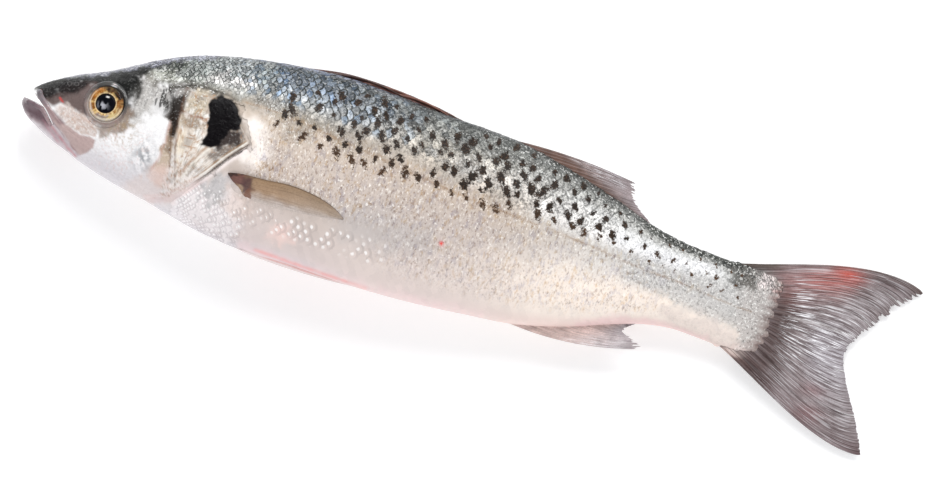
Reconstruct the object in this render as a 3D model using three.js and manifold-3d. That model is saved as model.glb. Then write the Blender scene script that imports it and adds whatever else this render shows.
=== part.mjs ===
/*
 * A whole sea bass lying on its right side, left flank up, in millimetres.
 *
 * The body is one lofted solid: superellipse sections that run from the lower jaw's tip to the
 * tail's root, with the mouth cut between the jaws, two nostrils a side, an eye socket, and raised
 * plates for the upper jaw, the cheek and the gill cover. The eyes and the fins are pieces of their
 * own, each standing a hair's breadth clear of the body.
 *
 * Fish frame: x runs from the lower jaw's tip to the tail, y from the long axis up to the back, and
 * z out through the left flank. A relaxed fish sags, so its middle plane sinks towards the table
 * from the belly to the tail, and the flank it lies on is pressed flat at z = 0.
 */
import * as THREE from 'three';
import { mergeVertices } from 'three/addons/utils/BufferGeometryUtils.js';
import Module from 'manifold-3d';

const wasm = await Module();
wasm.setup();

// ---------------------------------------------------------------- driving dimensions

const BODY_END = 306;
const GAP = 0.3;

// Each profile lists [x, value] stations along the fish.
const BACK = profile([
  [0, 1.5], [3, 6], [8, 10.2], [18, 15.8], [30, 21], [42, 27.6], [54, 33.4], [66, 37.6], [80, 40.7],
  [100, 43.3], [120, 44.4], [140, 43.2], [160, 41.3], [180, 40.1], [195, 38.7], [215, 34], [235, 28],
  [250, 22.8], [265, 19.3], [280, 17.8], [293, 16.6], [301, 12.5], [306, 7],
]);
const BELLY = profile([
  [0, -1.5], [2, -4.2], [6, -7], [12, -10.2], [20, -13.6], [30, -17.4], [42, -20.9], [54, -23.6],
  [66, -26.6], [80, -30], [95, -32.2], [115, -33.1], [150, -33.6], [170, -33.2], [190, -31.8],
  [210, -30], [230, -25.2], [245, -19.9], [258, -15.9], [270, -14.3], [282, -15], [293, -15.4],
  [301, -11], [306, -6],
]);
const HALF_WIDTH = profile([
  [0, 1.8], [1, 3.6], [3, 5.6], [8, 8.2], [16, 10.8], [26, 13.2], [36, 15.1], [50, 17.6], [66, 20],
  [85, 21.6], [105, 22.3], [125, 22.2], [145, 21.5], [165, 20], [185, 17.8], [205, 15.1],
  [225, 12.3], [245, 9.8], [262, 8], [278, 6.4], [290, 4.6], [300, 2.4], [306, 1],
]);
const WIDEST_LINE = profile([[0, -0.5], [12, -0.5], [30, 0.5], [60, 2], [110, 3.5], [200, 3.5], [306, 0.5]]);
const MIDDLE_PLANE = profile([
  [0, 17.6], [30, 19.2], [60, 20.4], [95, 21], [130, 20.8], [165, 19.3], [200, 16.6], [240, 12.9],
  [280, 9], [310, 6], [340, 3.4], [362, 1.9],
]);
// Superellipse exponents of the section's upper and lower half: 2 is an ellipse, more is boxier.
const BACK_FULLNESS = profile([[0, 2], [20, 2.2], [45, 2.4], [90, 2.15], [200, 2], [306, 2]]);
const BELLY_FULLNESS = profile([[0, 2], [30, 2.1], [90, 2.3], [150, 2.3], [220, 2], [306, 2]]);

const BODY_RINGS = 44;
const BODY_SIDES = 26;
const END_CROWDING = 0.62;

const MOUTH = [
  [-2, 1.8], [1, 1.6], [6, 1], [8.6, 0], [13.4, -5.6], [13.8, -5.3], [9.4, 0.9], [5.6, 2.4], [3.6, 4.2],
  [3.1, 5.4], [2.6, 9], [-2, 9],
];
const MOUTH_REACH = 14;

const EYE = { x: 32, y: 8, radius: 7.6, depth: 4.6, sink: 2.7 };
const NOSTRILS = [[15.8, 11.6], [18.4, 12.2]];
const NOSTRIL = { radius: 0.65, depth: 1 };

// A plate's outline is two curves with matched points that run from one end of it to the other.
const UPPER_JAW = {
  lead: [[5, 3.3], [10, 1.6], [15, -1.8], [20, -4.6], [26, -6.4], [31, -8.2]],
  trail: [[5, 2.9], [9.6, -0.4], [14, -5.2], [19, -10.2], [26, -13.8], [31.4, -11.6]],
  lift: [0.1, 0.8],
  root: 1.6,
};
const CHEEK = {
  lead: [[50, 21.4], [45, 17], [43, 11], [42, 4], [41, -3], [40, -10], [40, -15], [43, -18.6]],
  trail: [[53, 21.6], [55.6, 16.5], [57.2, 10], [57.6, 4], [57, -3], [55.8, -9.8], [53.5, -15], [48, -19]],
  lift: [-0.3, 0.9],
  root: 2.4,
};
const GILL_COVER = {
  lead: [[66, 24.2], [63, 20], [61.3, 14], [61, 7], [61.6, 0], [63, -7], [64.5, -13], [63, -19], [56, -23]],
  trail: [
    [67, 24.4], [80, 22.4], [85.2, 14.5], [90, 8.2], [83.6, 1], [77.8, -7], [71.6, -14.5], [65.4, -20.4],
    [57, -23.6],
  ],
  lift: [-0.1, 1.1],
  root: 2.6,
};
const PLATE_CELLS = { along: 10, across: 3 };
const END_FADE = 6;

// Fins in the middle plane: the root lies inside the back or belly, the rim is the free edge.
const FIRST_DORSAL = {
  root: [[105, 42], [120, 42.6], [138, 41.4], [156, 39.8], [173, 38.8]],
  rim: [[107, 44.4], [121, 46.1], [139, 45.5], [156, 43.2], [173, 40.9]],
  thickness: [2.6, 1.4],
};
const SECOND_DORSAL = {
  root: [[186, 38.2], [198, 36.3], [210, 33.2], [222, 29.8], [236, 25], [250, 20.6]],
  rim: [[187, 40.1], [203, 40.2], [221, 39.7], [235, 38.2], [240.5, 33.5], [250.5, 23]],
  thickness: [2, 0.9],
};
const ANAL = {
  root: [[203, -29.4], [213, -27.6], [224, -24.6], [236, -20.2], [247, -16.2], [256, -13.6]],
  rim: [[204, -31.3], [218, -31.8], [234, -30.4], [250, -29.2], [259.4, -25.6], [256.6, -18]],
  thickness: [2, 0.9],
};
const FIN_CELLS = { along: 20, across: 4 };

const TAIL = {
  root: [[284, 17], [296, 13], [300.5, 6], [301.5, 0], [300.5, -5], [296, -11], [288, -15]],
  margin: [
    [360.4, 26.4], [353.6, 20.4], [348, 13.5], [342.4, 5.5], [338.4, -1], [338, -6.5], [343, -15.5],
    [348.6, -25.5], [352.6, -34.5], [355, -41.4],
  ],
  bulge: 5.4,
  bulgeMeanHeight: 0.1,
  swell: { gain: 4.6, rise: 1.6, fall: 0.8 },
  thickness: [2.6, 0.9],
  cells: { along: 28, across: 7 },
};

const PECTORAL = {
  lead: [[86.2, -5.6], [90.5, -3.2], [100, -3], [111, -2.5], [121, -3.8], [129, -6.4], [133.8, -9.6]],
  trail: [[87.6, -9.2], [92.5, -12.6], [101, -14.6], [111, -15], [121, -13.6], [129, -11.6], [133.6, -10.2]],
  thickness: [1.9, 0.9],
  cells: { along: 14, across: 4 },
};

// The folded pelvic fins lie along the belly, a little to each side of its keel.
const PELVIC = {
  start: 97,
  end: 146,
  inner: 1,
  width: profile([[0, 2.4], [0.3, 5.4], [0.7, 4], [1, 0.8]]),
  thickness: [1.7, 0.9],
  cells: { along: 12, across: 2 },
};

const PALETTE = {
  body: { color: 0xb7b3ab, roughness: 0.32, metalness: 0.25 },
  eye: { color: 0x2a2622, roughness: 0.08, metalness: 0 },
  tail: { color: 0x7d7274, roughness: 0.45, metalness: 0 },
  dorsal: { color: 0x6d5a56, roughness: 0.5, metalness: 0 },
  anal: { color: 0x8f7f7e, roughness: 0.5, metalness: 0 },
  pectoral: { color: 0x9b866a, roughness: 0.4, metalness: 0 },
  pelvic: { color: 0xdcb9b2, roughness: 0.4, metalness: 0 },
};

// ---------------------------------------------------------------- curves and surfaces

/** A smooth function through [x, value] stations: cubic pieces with shared slopes. */
function profile(stations) {
  const slope = (a, b) => (b[1] - a[1]) / (b[0] - a[0]);
  const last = stations.length - 1;
  const slopes = stations.map((_, i) => {
    const before = stations[Math.max(i - 1, 0)];
    const after = stations[Math.min(i + 1, last)];
    return slope(before, after);
  });
  return (x) => {
    const next = stations.findIndex((station) => station[0] > x);
    const i = next < 0 ? last - 1 : Math.max(next - 1, 0);
    const span = stations[i + 1][0] - stations[i][0];
    const t = THREE.MathUtils.clamp((x - stations[i][0]) / span, 0, 1);
    const t2 = t * t;
    const t3 = t2 * t;
    return (2 * t3 - 3 * t2 + 1) * stations[i][1]
      + (t3 - 2 * t2 + t) * span * slopes[i]
      + (3 * t2 - 2 * t3) * stations[i + 1][1]
      + (t3 - t2) * span * slopes[i + 1];
  };
}

/** A plane curve through [x, y] points. */
function curve(points) {
  return new THREE.SplineCurve(points.map(([x, y]) => new THREE.Vector2(x, y)));
}

/** Half the body's width at height y of station x: how far the flank stands off the middle plane. */
function flank(x, y) {
  const middle = WIDEST_LINE(x);
  const above = y > middle;
  const reach = above ? BACK(x) - middle : middle - BELLY(x);
  const fullness = above ? BACK_FULLNESS(x) : BELLY_FULLNESS(x);
  const share = Math.min(Math.abs(y - middle) / reach, 0.998);
  return HALF_WIDTH(x) * (1 - share ** fullness) ** (1 / fullness);
}

/** The point at (x, y) on the left (1) or right (-1) flank, raised by lift and never below the table. */
function onFlank(x, y, lift, side) {
  const step = 0.05;
  const leanY = (flank(x, y + step) - flank(x, y - step)) / (2 * step);
  const leanX = (flank(x + step, y) - flank(x - step, y)) / (2 * step);
  const outward = new THREE.Vector3(-leanX, -leanY, 1).normalize().multiplyScalar(lift);
  const z = MIDDLE_PLANE(x) + side * (flank(x, y) + outward.z);
  return new THREE.Vector3(x + outward.x, y + outward.y, Math.max(z, 0));
}

// ---------------------------------------------------------------- solids

/** A geometry as a solid: shared vertices merged, pinched triangles dropped, faces pointing out. */
function solid(geometry) {
  geometry.deleteAttribute('normal');
  geometry.deleteAttribute('uv');
  const merged = mergeVertices(geometry, 1e-4);
  const position = merged.attributes.position.array;
  const corners = merged.index.array;
  const triangles = [];
  let volume = 0;
  for (let i = 0; i < corners.length; i += 3) {
    const [a, b, c] = corners.slice(i, i + 3);
    if (a === b || b === c || c === a) continue;
    triangles.push(a, b, c);
    const [p, q, r] = [a, b, c].map((k) => new THREE.Vector3().fromArray(position, 3 * k));
    volume += p.dot(q.cross(r));
  }
  if (volume < 0) triangles.reverse();
  return new wasm.Manifold(new wasm.Mesh({
    numProp: 3,
    vertProperties: new Float32Array(position),
    triVerts: new Uint32Array(triangles),
  }));
}

/** A solid as a named mesh. */
function piece(name, shape, look) {
  const { vertProperties, triVerts, numProp } = shape.getMesh();
  const geometry = new THREE.BufferGeometry();
  const points = new Float32Array((vertProperties.length / numProp) * 3);
  for (let i = 0; i < points.length / 3; i++) {
    points.set(vertProperties.slice(i * numProp, i * numProp + 3), 3 * i);
  }
  geometry.setAttribute('position', new THREE.BufferAttribute(points, 3));
  geometry.setIndex(new THREE.BufferAttribute(new Uint32Array(triVerts), 1));
  geometry.computeVertexNormals();
  const mesh = new THREE.Mesh(geometry, new THREE.MeshStandardMaterial(PALETTE[look]));
  mesh.name = name;
  return mesh;
}

/** The body's loft. A unit cylinder is drawn out along the fish, ring by ring. */
function loftedBody(grow = 0) {
  const geometry = new THREE.CylinderGeometry(1, 1, 1, BODY_SIDES, BODY_RINGS);
  const position = geometry.attributes.position;
  const rounded = (share, fullness) => Math.sign(share) * Math.abs(share) ** (2 / fullness);
  for (let i = 0; i < position.count; i++) {
    const along = 0.5 - position.getY(i);
    const x = BODY_END * (along - (END_CROWDING * Math.sin(2 * Math.PI * along)) / (2 * Math.PI));
    const up = position.getX(i);
    const out = position.getZ(i);
    const middle = WIDEST_LINE(x);
    const reach = (up > 0 ? BACK(x) - middle : middle - BELLY(x)) + grow;
    const fullness = up > 0 ? BACK_FULLNESS(x) : BELLY_FULLNESS(x);
    const z = MIDDLE_PLANE(x) + (HALF_WIDTH(x) + grow) * rounded(out, fullness);
    const beyond = along === 0 ? -grow : along === 1 ? grow : 0;
    position.setXYZ(i, x + beyond, middle + reach * rounded(up, fullness), Math.max(z, -grow));
  }
  return solid(geometry);
}

/** A thin closed solid over the unit square: place(u, v, face) puts its front (1) and back (-1) face. */
function sheet({ along, across }, place) {
  const geometry = new THREE.BoxGeometry(1, 1, 1, along, across, 1);
  const position = geometry.attributes.position;
  for (let i = 0; i < position.count; i++) {
    const point = place(position.getX(i) + 0.5, position.getY(i) + 0.5, Math.sign(position.getZ(i)));
    position.setXYZ(i, point.x, point.y, point.z);
  }
  return solid(geometry);
}

/** A bony plate that rises from the flank at its leading edge and ends in a free rim. */
function plate({ lead, trail, lift, root }, side) {
  const front = curve(lead);
  const rim = curve(trail);
  return sheet(PLATE_CELLS, (u, v, face) => {
    const at = front.getPoint(u).lerp(rim.getPoint(u), v);
    const endFade = Math.min(1, END_FADE * Math.min(u, 1 - u));
    const height = face > 0 ? THREE.MathUtils.lerp(lift[0], lift[1], v * endFade) : -root;
    return onFlank(at.x, at.y, height, side);
  });
}

/** A fin in the middle plane, thick at the root and thin at the rim, cut clear of the body. */
function midFin({ root, rim, thickness }) {
  const foot = curve(root);
  const edge = curve(rim);
  return sheet(FIN_CELLS, (u, v, face) => {
    const at = foot.getPoint(u).lerp(edge.getPoint(u), v);
    const half = THREE.MathUtils.lerp(thickness[0], thickness[1], v) / 2;
    return new THREE.Vector3(at.x, at.y, MIDDLE_PLANE(at.x) + face * half);
  }).subtract(clearance);
}

/** The forked tail fin: rays fan out from the tail's root and bow towards the lobes' outer edges. */
function tailFin() {
  const foot = curve(TAIL.root);
  const margin = curve(TAIL.margin);
  return sheet(TAIL.cells, (u, v, face) => {
    const at = foot.getPoint(u).lerp(margin.getPoint(u), v);
    const swell = TAIL.swell.gain * v ** TAIL.swell.rise * (1 - v) ** TAIL.swell.fall;
    const bow = TAIL.bulge * (Math.cos(Math.PI * u) + TAIL.bulgeMeanHeight) * swell;
    const half = THREE.MathUtils.lerp(TAIL.thickness[0], TAIL.thickness[1], v) / 2;
    return new THREE.Vector3(at.x, at.y + bow, MIDDLE_PLANE(at.x) + face * half);
  }).subtract(clearance);
}

/** A pectoral fin folded back on the flank. On the lower side it lies on the table, in a shallow print. */
function pectoralFin(side, grow = 0) {
  const upper = curve(PECTORAL.lead);
  const lower = curve(PECTORAL.trail);
  return sheet(PECTORAL.cells, (u, v, face) => {
    const wide = v + (v - 0.5) * 2 * grow / 10;
    const long = u + (u - 0.5) * 2 * grow / 44;
    const at = upper.getPoint(u).lerp(lower.getPoint(u), wide);
    at.x += (long - u) * 44;
    const thickness = THREE.MathUtils.lerp(PECTORAL.thickness[0], PECTORAL.thickness[1], u);
    const rise = face > 0 ? GAP + thickness + grow : GAP - grow;
    const point = onFlank(at.x, at.y, rise, side);
    const floor = face > 0 ? -grow : thickness + grow;
    if (side < 0) point.z = face > 0 && point.z === 0 ? floor : Math.max(point.z, floor);
    return point;
  });
}

/** A pelvic fin folded back under the belly, beside the keel. */
function pelvicFin(side) {
  return sheet(PELVIC.cells, (u, v, face) => {
    const x = THREE.MathUtils.lerp(PELVIC.start, PELVIC.end, u);
    const out = PELVIC.inner + v * PELVIC.width(u);
    const share = out / HALF_WIDTH(x);
    const fullness = BELLY_FULLNESS(x);
    const middle = WIDEST_LINE(x);
    const belly = middle - (middle - BELLY(x)) * (1 - share ** fullness) ** (1 / fullness);
    const thickness = THREE.MathUtils.lerp(PELVIC.thickness[0], PELVIC.thickness[1], u);
    const y = belly - 2 * GAP - (face > 0 ? 0 : thickness);
    return new THREE.Vector3(x, y, MIDDLE_PLANE(x) + side * out);
  });
}

/** An eyeball, flattened along the flank's normal. */
function eyeball(side, grow = 0) {
  const centre = onFlank(EYE.x, EYE.y, -EYE.sink, side);
  const geometry = new THREE.SphereGeometry(1, 18, 10);
  geometry.rotateX(Math.PI / 2);
  geometry.scale(EYE.radius + grow, EYE.radius + grow, EYE.depth + grow);
  const outward = onFlank(EYE.x, EYE.y, 1, side).sub(onFlank(EYE.x, EYE.y, 0, side));
  geometry.applyQuaternion(new THREE.Quaternion().setFromUnitVectors(new THREE.Vector3(0, 0, 1), outward));
  geometry.translate(centre.x, centre.y, centre.z);
  return solid(geometry);
}

/** The slot between the jaws, cut right through from side to side. */
function mouthSlot() {
  const outline = new THREE.Shape(MOUTH.map(([x, y]) => new THREE.Vector2(x, y)));
  const geometry = new THREE.ExtrudeGeometry(outline, { depth: 2 * MOUTH_REACH, bevelEnabled: false });
  geometry.translate(0, 0, MIDDLE_PLANE(0) - MOUTH_REACH);
  return solid(geometry);
}

/** One nostril's pit. */
function nostril([x, y], side) {
  const geometry = new THREE.CylinderGeometry(NOSTRIL.radius, NOSTRIL.radius, 2 * NOSTRIL.depth, 10);
  geometry.rotateX(Math.PI / 2);
  const place = onFlank(x, y, 0, side);
  geometry.translate(place.x, place.y, place.z);
  return solid(geometry);
}

// ---------------------------------------------------------------- the fish

const SIDES = { left: 1, right: -1 };
const clearance = loftedBody(GAP);

let body = loftedBody();
for (const side of Object.values(SIDES)) {
  for (const bone of [UPPER_JAW, CHEEK, GILL_COVER]) body = body.add(plate(bone, side));
}
body = body.subtract(mouthSlot());
for (const side of Object.values(SIDES)) {
  body = body.subtract(eyeball(side, GAP));
  for (const place of NOSTRILS) body = body.subtract(nostril(place, side));
}
body = body.subtract(pectoralFin(SIDES.right, GAP));

const fish = new THREE.Group();
fish.name = 'sea_bass';
fish.add(piece('body', body, 'body'));
fish.add(piece('first_dorsal_fin', midFin(FIRST_DORSAL), 'dorsal'));
fish.add(piece('second_dorsal_fin', midFin(SECOND_DORSAL), 'dorsal'));
fish.add(piece('anal_fin', midFin(ANAL), 'anal'));
fish.add(piece('tail_fin', tailFin(), 'tail'));
for (const [hand, side] of Object.entries(SIDES)) {
  fish.add(piece(`eye_${hand}`, eyeball(side), 'eye'));
  fish.add(piece(`pectoral_fin_${hand}`, pectoralFin(side), 'pectoral'));
  fish.add(piece(`pelvic_fin_${hand}`, pelvicFin(side), 'pelvic'));
}

// The origin stands on the table, under the middle of the whole fish.
const box = new THREE.Box3().setFromObject(fish);
const middle = box.getCenter(new THREE.Vector3());
fish.position.set(-middle.x, -middle.y, -box.min.z);

const seaBass = new THREE.Group();
seaBass.add(fish);

export default seaBass;
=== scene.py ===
"""
A whole raw sea bass on its right flank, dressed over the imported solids.

Fish frame, in millimetres, as in the solids: x from the lower jaw's tip to the tail, y from the
long axis up to the back, z out through the left flank. A side is 1 for the left flank, -1 for the
right. Colours are plain 0 to 255 screen values. Everything random is seeded.
"""
import math

import bpy
import numpy as np
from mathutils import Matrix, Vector


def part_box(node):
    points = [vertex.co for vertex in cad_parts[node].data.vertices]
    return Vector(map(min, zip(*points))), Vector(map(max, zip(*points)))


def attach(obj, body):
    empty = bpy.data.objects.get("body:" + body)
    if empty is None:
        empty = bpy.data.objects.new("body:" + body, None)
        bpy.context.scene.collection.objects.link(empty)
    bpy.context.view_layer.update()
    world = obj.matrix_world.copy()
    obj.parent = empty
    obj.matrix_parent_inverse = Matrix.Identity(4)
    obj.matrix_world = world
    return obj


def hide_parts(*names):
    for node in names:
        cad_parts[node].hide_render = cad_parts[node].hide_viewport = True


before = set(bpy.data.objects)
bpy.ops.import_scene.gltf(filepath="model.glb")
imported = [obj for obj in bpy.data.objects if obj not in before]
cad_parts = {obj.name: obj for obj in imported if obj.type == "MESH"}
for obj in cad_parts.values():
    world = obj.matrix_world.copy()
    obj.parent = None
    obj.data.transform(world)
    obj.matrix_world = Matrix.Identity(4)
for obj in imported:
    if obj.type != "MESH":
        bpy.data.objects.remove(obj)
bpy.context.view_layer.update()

MM = 0.001
SIDES = {"left": 1, "right": -1}
NOISE_KNOTS = 128

# ---------------------------------------------------------------- curves and noise


def profile(*stations):
    """A smooth function through (x, value) stations: cubic pieces with shared slopes."""
    xs, ys = np.array(stations, float).T
    order = np.arange(len(xs))
    before = np.maximum(order - 1, 0)
    after = np.minimum(order + 1, len(xs) - 1)
    slopes = (ys[after] - ys[before]) / (xs[after] - xs[before])

    def value(x):
        i = np.clip(np.searchsorted(xs, x, side="right") - 1, 0, len(xs) - 2)
        span = xs[i + 1] - xs[i]
        t = np.clip((x - xs[i]) / span, 0, 1)
        t2, t3 = t * t, t * t * t
        return ((2 * t3 - 3 * t2 + 1) * ys[i] + (t3 - 2 * t2 + t) * span * slopes[i]
                + (3 * t2 - 2 * t3) * ys[i + 1] + (t3 - t2) * span * slopes[i + 1])

    return value


def curve(*points):
    """A Catmull-Rom curve through the points, as a function of 0 to 1."""
    knots = np.array(points, float)
    last = len(knots) - 1

    def at(t):
        place = np.clip(t, 0, 1) * last
        i = np.minimum(place.astype(int), last - 1)
        w = (place - i)[..., None]
        p0, p1 = knots[np.maximum(i - 1, 0)], knots[i]
        p2, p3 = knots[i + 1], knots[np.minimum(i + 2, last)]
        a, b = (p2 - p0) / 2, (p3 - p1) / 2
        return (2 * p1 - 2 * p2 + a + b) * w**3 + (-3 * p1 + 3 * p2 - 2 * a - b) * w**2 + a * w + p1

    return at


def between(first, last):
    """A function that gives (x, y) between two curves: u along both, v from the first to the last."""

    def at(u, v):
        here = first(u) * (1 - v[:, None]) + last(u) * v[:, None]
        return here[:, 0], here[:, 1]

    return at


def smooth(low, high, value):
    """0 up to low, 1 from high on, and an eased step between."""
    t = np.clip((value - low) / (high - low), 0, 1)
    return t * t * (3 - 2 * t)


def band(value, low, full, fading, gone):
    """0 up to low, 1 from full to fading, and 0 again from gone on."""
    return smooth(low, full, value) * (1 - smooth(fading, gone, value))


def bell(*offsets, power=2):
    """1 where every offset is 0, and less the further off any of them is."""
    return np.exp(-sum(np.abs(offset) ** power for offset in offsets))


def mix(a, b, share):
    """a where share is 0, b where it is 1."""
    return a + (b - a) * share


def screen(*rgb):
    """Screen values, 0 to 255, as linear light."""
    value = np.array(rgb) / 255
    return np.where(value <= 0.04045, value / 12.92, ((value + 0.055) / 1.055) ** 2.4)


def paint(tint, *coats):
    """A tint, painted over with each coat in turn: a colour, and how strongly it covers each point."""
    tint = screen(*tint) if isinstance(tint, tuple) else tint
    for colour, share in coats:
        colour = screen(*colour) if isinstance(colour, tuple) else colour
        tint = tint + (colour - tint) * np.asarray(share)[..., None]
    return tint


def noise(x, y, size, seed=0):
    """Smooth noise from -1 to 1 with knots size apart."""
    table = np.random.default_rng(seed).uniform(-1, 1, (NOISE_KNOTS, NOISE_KNOTS))
    u, v = np.asarray(x) / size, np.asarray(y) / size
    i, j = np.floor(u).astype(int), np.floor(v).astype(int)
    f, g = smooth(0, 1, u - i), smooth(0, 1, v - j)
    knot = lambda a, b: table[a % NOISE_KNOTS, b % NOISE_KNOTS]
    low = knot(i, j) * (1 - f) + knot(i + 1, j) * f
    high = knot(i, j + 1) * (1 - f) + knot(i + 1, j + 1) * f
    return low * (1 - g) + high * g


def row_noise(x, seed):
    """The same noise along one line."""
    return noise(x, x * 0, 1, seed)


def line_distance(x, y, points):
    """Distance from each (x, y) to a broken line."""
    best = np.full(np.shape(x), 1e9)
    for (ax, ay), (bx, by) in zip(points, points[1:]):
        dx, dy = bx - ax, by - ay
        t = np.clip(((x - ax) * dx + (y - ay) * dy) / (dx * dx + dy * dy), 0, 1)
        best = np.minimum(best, np.hypot(x - ax - t * dx, y - ay - t * dy))
    return best


def depth_inside(x, y, outline):
    """How deep each (x, y) lies inside a closed outline; negative outside it."""
    inside = np.zeros(np.shape(x), bool)
    ring = list(outline) + [outline[0]]
    for (ax, ay), (bx, by) in zip(ring, ring[1:]):
        if ay != by:
            inside ^= ((ay > y) != (by > y)) & (x < (bx - ax) * (y - ay) / (by - ay) + ax)
    return np.where(inside, 1, -1) * line_distance(x, y, ring)


# ---------------------------------------------------------------- the fish's form, as in the solids

BODY_END = 306
BACK = profile(
    (0, 1.5), (3, 6), (8, 10.2), (18, 15.8), (30, 21), (42, 27.6), (54, 33.4), (66, 37.6), (80, 40.7),
    (100, 43.3), (120, 44.4), (140, 43.2), (160, 41.3), (180, 40.1), (195, 38.7), (215, 34), (235, 28),
    (250, 22.8), (265, 19.3), (280, 17.8), (293, 16.6), (301, 12.5), (306, 7))
BELLY = profile(
    (0, -1.5), (2, -4.2), (6, -7), (12, -10.2), (20, -13.6), (30, -17.4), (42, -20.9), (54, -23.6),
    (66, -26.6), (80, -30), (95, -32.2), (115, -33.1), (150, -33.6), (170, -33.2), (190, -31.8),
    (210, -30), (230, -25.2), (245, -19.9), (258, -15.9), (270, -14.3), (282, -15), (293, -15.4),
    (301, -11), (306, -6))
HALF_WIDTH = profile(
    (0, 1.8), (1, 3.6), (3, 5.6), (8, 8.2), (16, 10.8), (26, 13.2), (36, 15.1), (50, 17.6), (66, 20),
    (85, 21.6), (105, 22.3), (125, 22.2), (145, 21.5), (165, 20), (185, 17.8), (205, 15.1),
    (225, 12.3), (245, 9.8), (262, 8), (278, 6.4), (290, 4.6), (300, 2.4), (306, 1))
WIDEST_LINE = profile((0, -0.5), (12, -0.5), (30, 0.5), (60, 2), (110, 3.5), (200, 3.5), (306, 0.5))
MIDDLE_PLANE = profile(
    (0, 17.6), (30, 19.2), (60, 20.4), (95, 21), (130, 20.8), (165, 19.3), (200, 16.6), (240, 12.9),
    (280, 9), (310, 6), (340, 3.4), (362, 1.9))
BACK_FULLNESS = profile((0, 2), (20, 2.2), (45, 2.4), (90, 2.15), (200, 2), (306, 2))
BELLY_FULLNESS = profile((0, 2), (30, 2.1), (90, 2.3), (150, 2.3), (220, 2), (306, 2))
LATERAL_LINE = profile(
    (0, 2), (25, 14), (60, 22.5), (90, 24), (110, 22.5), (120, 20.8), (135, 18.6), (150, 16.4),
    (165, 14.2), (185, 12), (205, 10.2), (220, 9), (236, 7.2), (250, 5.2), (270, 3.7), (290, 1.2),
    (306, 0.5))
EYE_X, EYE_Y = 32, 8
GILL_RIM = [
    (67, 24.4), (80, 22.4), (85.2, 14.5), (90, 8.2), (83.6, 1), (77.8, -7), (71.6, -14.5),
    (65.4, -20.4), (57, -23.6)]
SLIT = GILL_RIM[3:]

# The flank that rests on the table is pressed flat, with its skin this far above the table.
RESTING_SKIN = 0.6

# The solids' own corners say where the fish frame lies in the world.
BODY_LOW, BODY_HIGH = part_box("body")
HIGHEST_AT = 120.0
SHIFT = np.array([BODY_LOW.x / MM, BODY_HIGH.y / MM - float(BACK(HIGHEST_AT)), 0])


def to_world(points):
    """Fish millimetres to world metres."""
    return (np.asarray(points, float) + SHIFT) * MM


def section(x, up):
    """A section's middle at x, and its reach and fullness on the back's side, or the belly's where up < 0."""
    middle = WIDEST_LINE(x)
    reach = np.where(up > 0, BACK(x) - middle, middle - BELLY(x))
    return middle, reach, np.where(up > 0, BACK_FULLNESS(x), BELLY_FULLNESS(x))


def flank(x, y):
    """How far the flank stands off the middle plane at (x, y)."""
    middle, reach, fullness = section(x, y - WIDEST_LINE(x))
    share = np.minimum(np.abs(y - middle) / reach, 0.998)
    return HALF_WIDTH(x) * (1 - share**fullness) ** (1 / fullness)


def above_table(z, lift):
    """Heights kept off the table, in layers: what lies further out on the resting flank lies lower."""
    return np.maximum(z, np.maximum(RESTING_SKIN - lift, 0))


def on_flank(x, y, lift, side):
    """Points at (x, y) on a flank, raised by lift along the skin's normal, never below the table."""
    x, y = np.broadcast_arrays(np.asarray(x, float), np.asarray(y, float))
    step = 0.05
    lean_x = (flank(x + step, y) - flank(x - step, y)) / (2 * step)
    lean_y = (flank(x, y + step) - flank(x, y - step)) / (2 * step)
    length = np.sqrt(lean_x**2 + lean_y**2 + 1)
    z = MIDDLE_PLANE(x) + side * (flank(x, y) + lift / length)
    return np.stack([x - lean_x * lift / length, y - lean_y * lift / length, above_table(z, lift)], -1)


class Wrap:
    """The trunk unrolled: x along it, s along the skin from the lateral line, up to the back."""

    REACH = 62.0
    STEP = 0.5
    TURNS = 241

    def __init__(self):
        self.xs = np.arange(0.0, BODY_END + 1)
        self.s = np.arange(-self.REACH, self.REACH + self.STEP, self.STEP)
        turn = np.linspace(-math.pi / 2, math.pi / 2, self.TURNS)
        up, out = np.sin(turn), np.cos(turn)
        self.low, self.high, rows = [], [], []
        for x in self.xs:
            middle, reach, fullness = section(x, up)
            y = middle + reach * np.sign(up) * np.abs(up) ** (2 / fullness)
            z = HALF_WIDTH(x) * np.abs(out) ** (2 / fullness)
            arc = np.concatenate([[0], np.cumsum(np.hypot(np.diff(y), np.diff(z)))])
            arc -= np.interp(LATERAL_LINE(x), y, arc)
            self.low.append(arc[0])
            self.high.append(arc[-1])
            rows.append(np.stack([np.interp(self.s, arc, y), np.interp(self.s, arc, z)], -1))
        self.table = np.array(rows)

    def ends(self, x):
        """The keel's and the back ridge's s at x."""
        return np.interp(x, self.xs, self.low), np.interp(x, self.xs, self.high)

    def place(self, x, s):
        """(y, distance off the middle plane) at (x, s)."""
        u = np.clip(x, 0, BODY_END - 0.001)
        v = np.clip((s + self.REACH) / self.STEP, 0, len(self.s) - 1.001)
        i, j = u.astype(int), v.astype(int)
        f, g = (u - i)[..., None], (v - j)[..., None]
        low = self.table[i, j] * (1 - f) + self.table[i + 1, j] * f
        high = self.table[i, j + 1] * (1 - f) + self.table[i + 1, j + 1] * f
        return low * (1 - g) + high * g

    def point(self, x, s, lift, side):
        """A point at (x, s), raised by lift along the section's normal."""
        here = self.place(x, s)
        ahead = self.place(x, s + 1) - self.place(x, s - 1)
        length = np.maximum(np.hypot(ahead[..., 0], ahead[..., 1]), 1e-6)
        y = here[..., 0] - lift * ahead[..., 1] / length
        out = here[..., 1] + lift * ahead[..., 0] / length
        return np.stack([x, y, MIDDLE_PLANE(x) + side * out], -1)


WRAP = Wrap()

# ---------------------------------------------------------------- meshes


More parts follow.
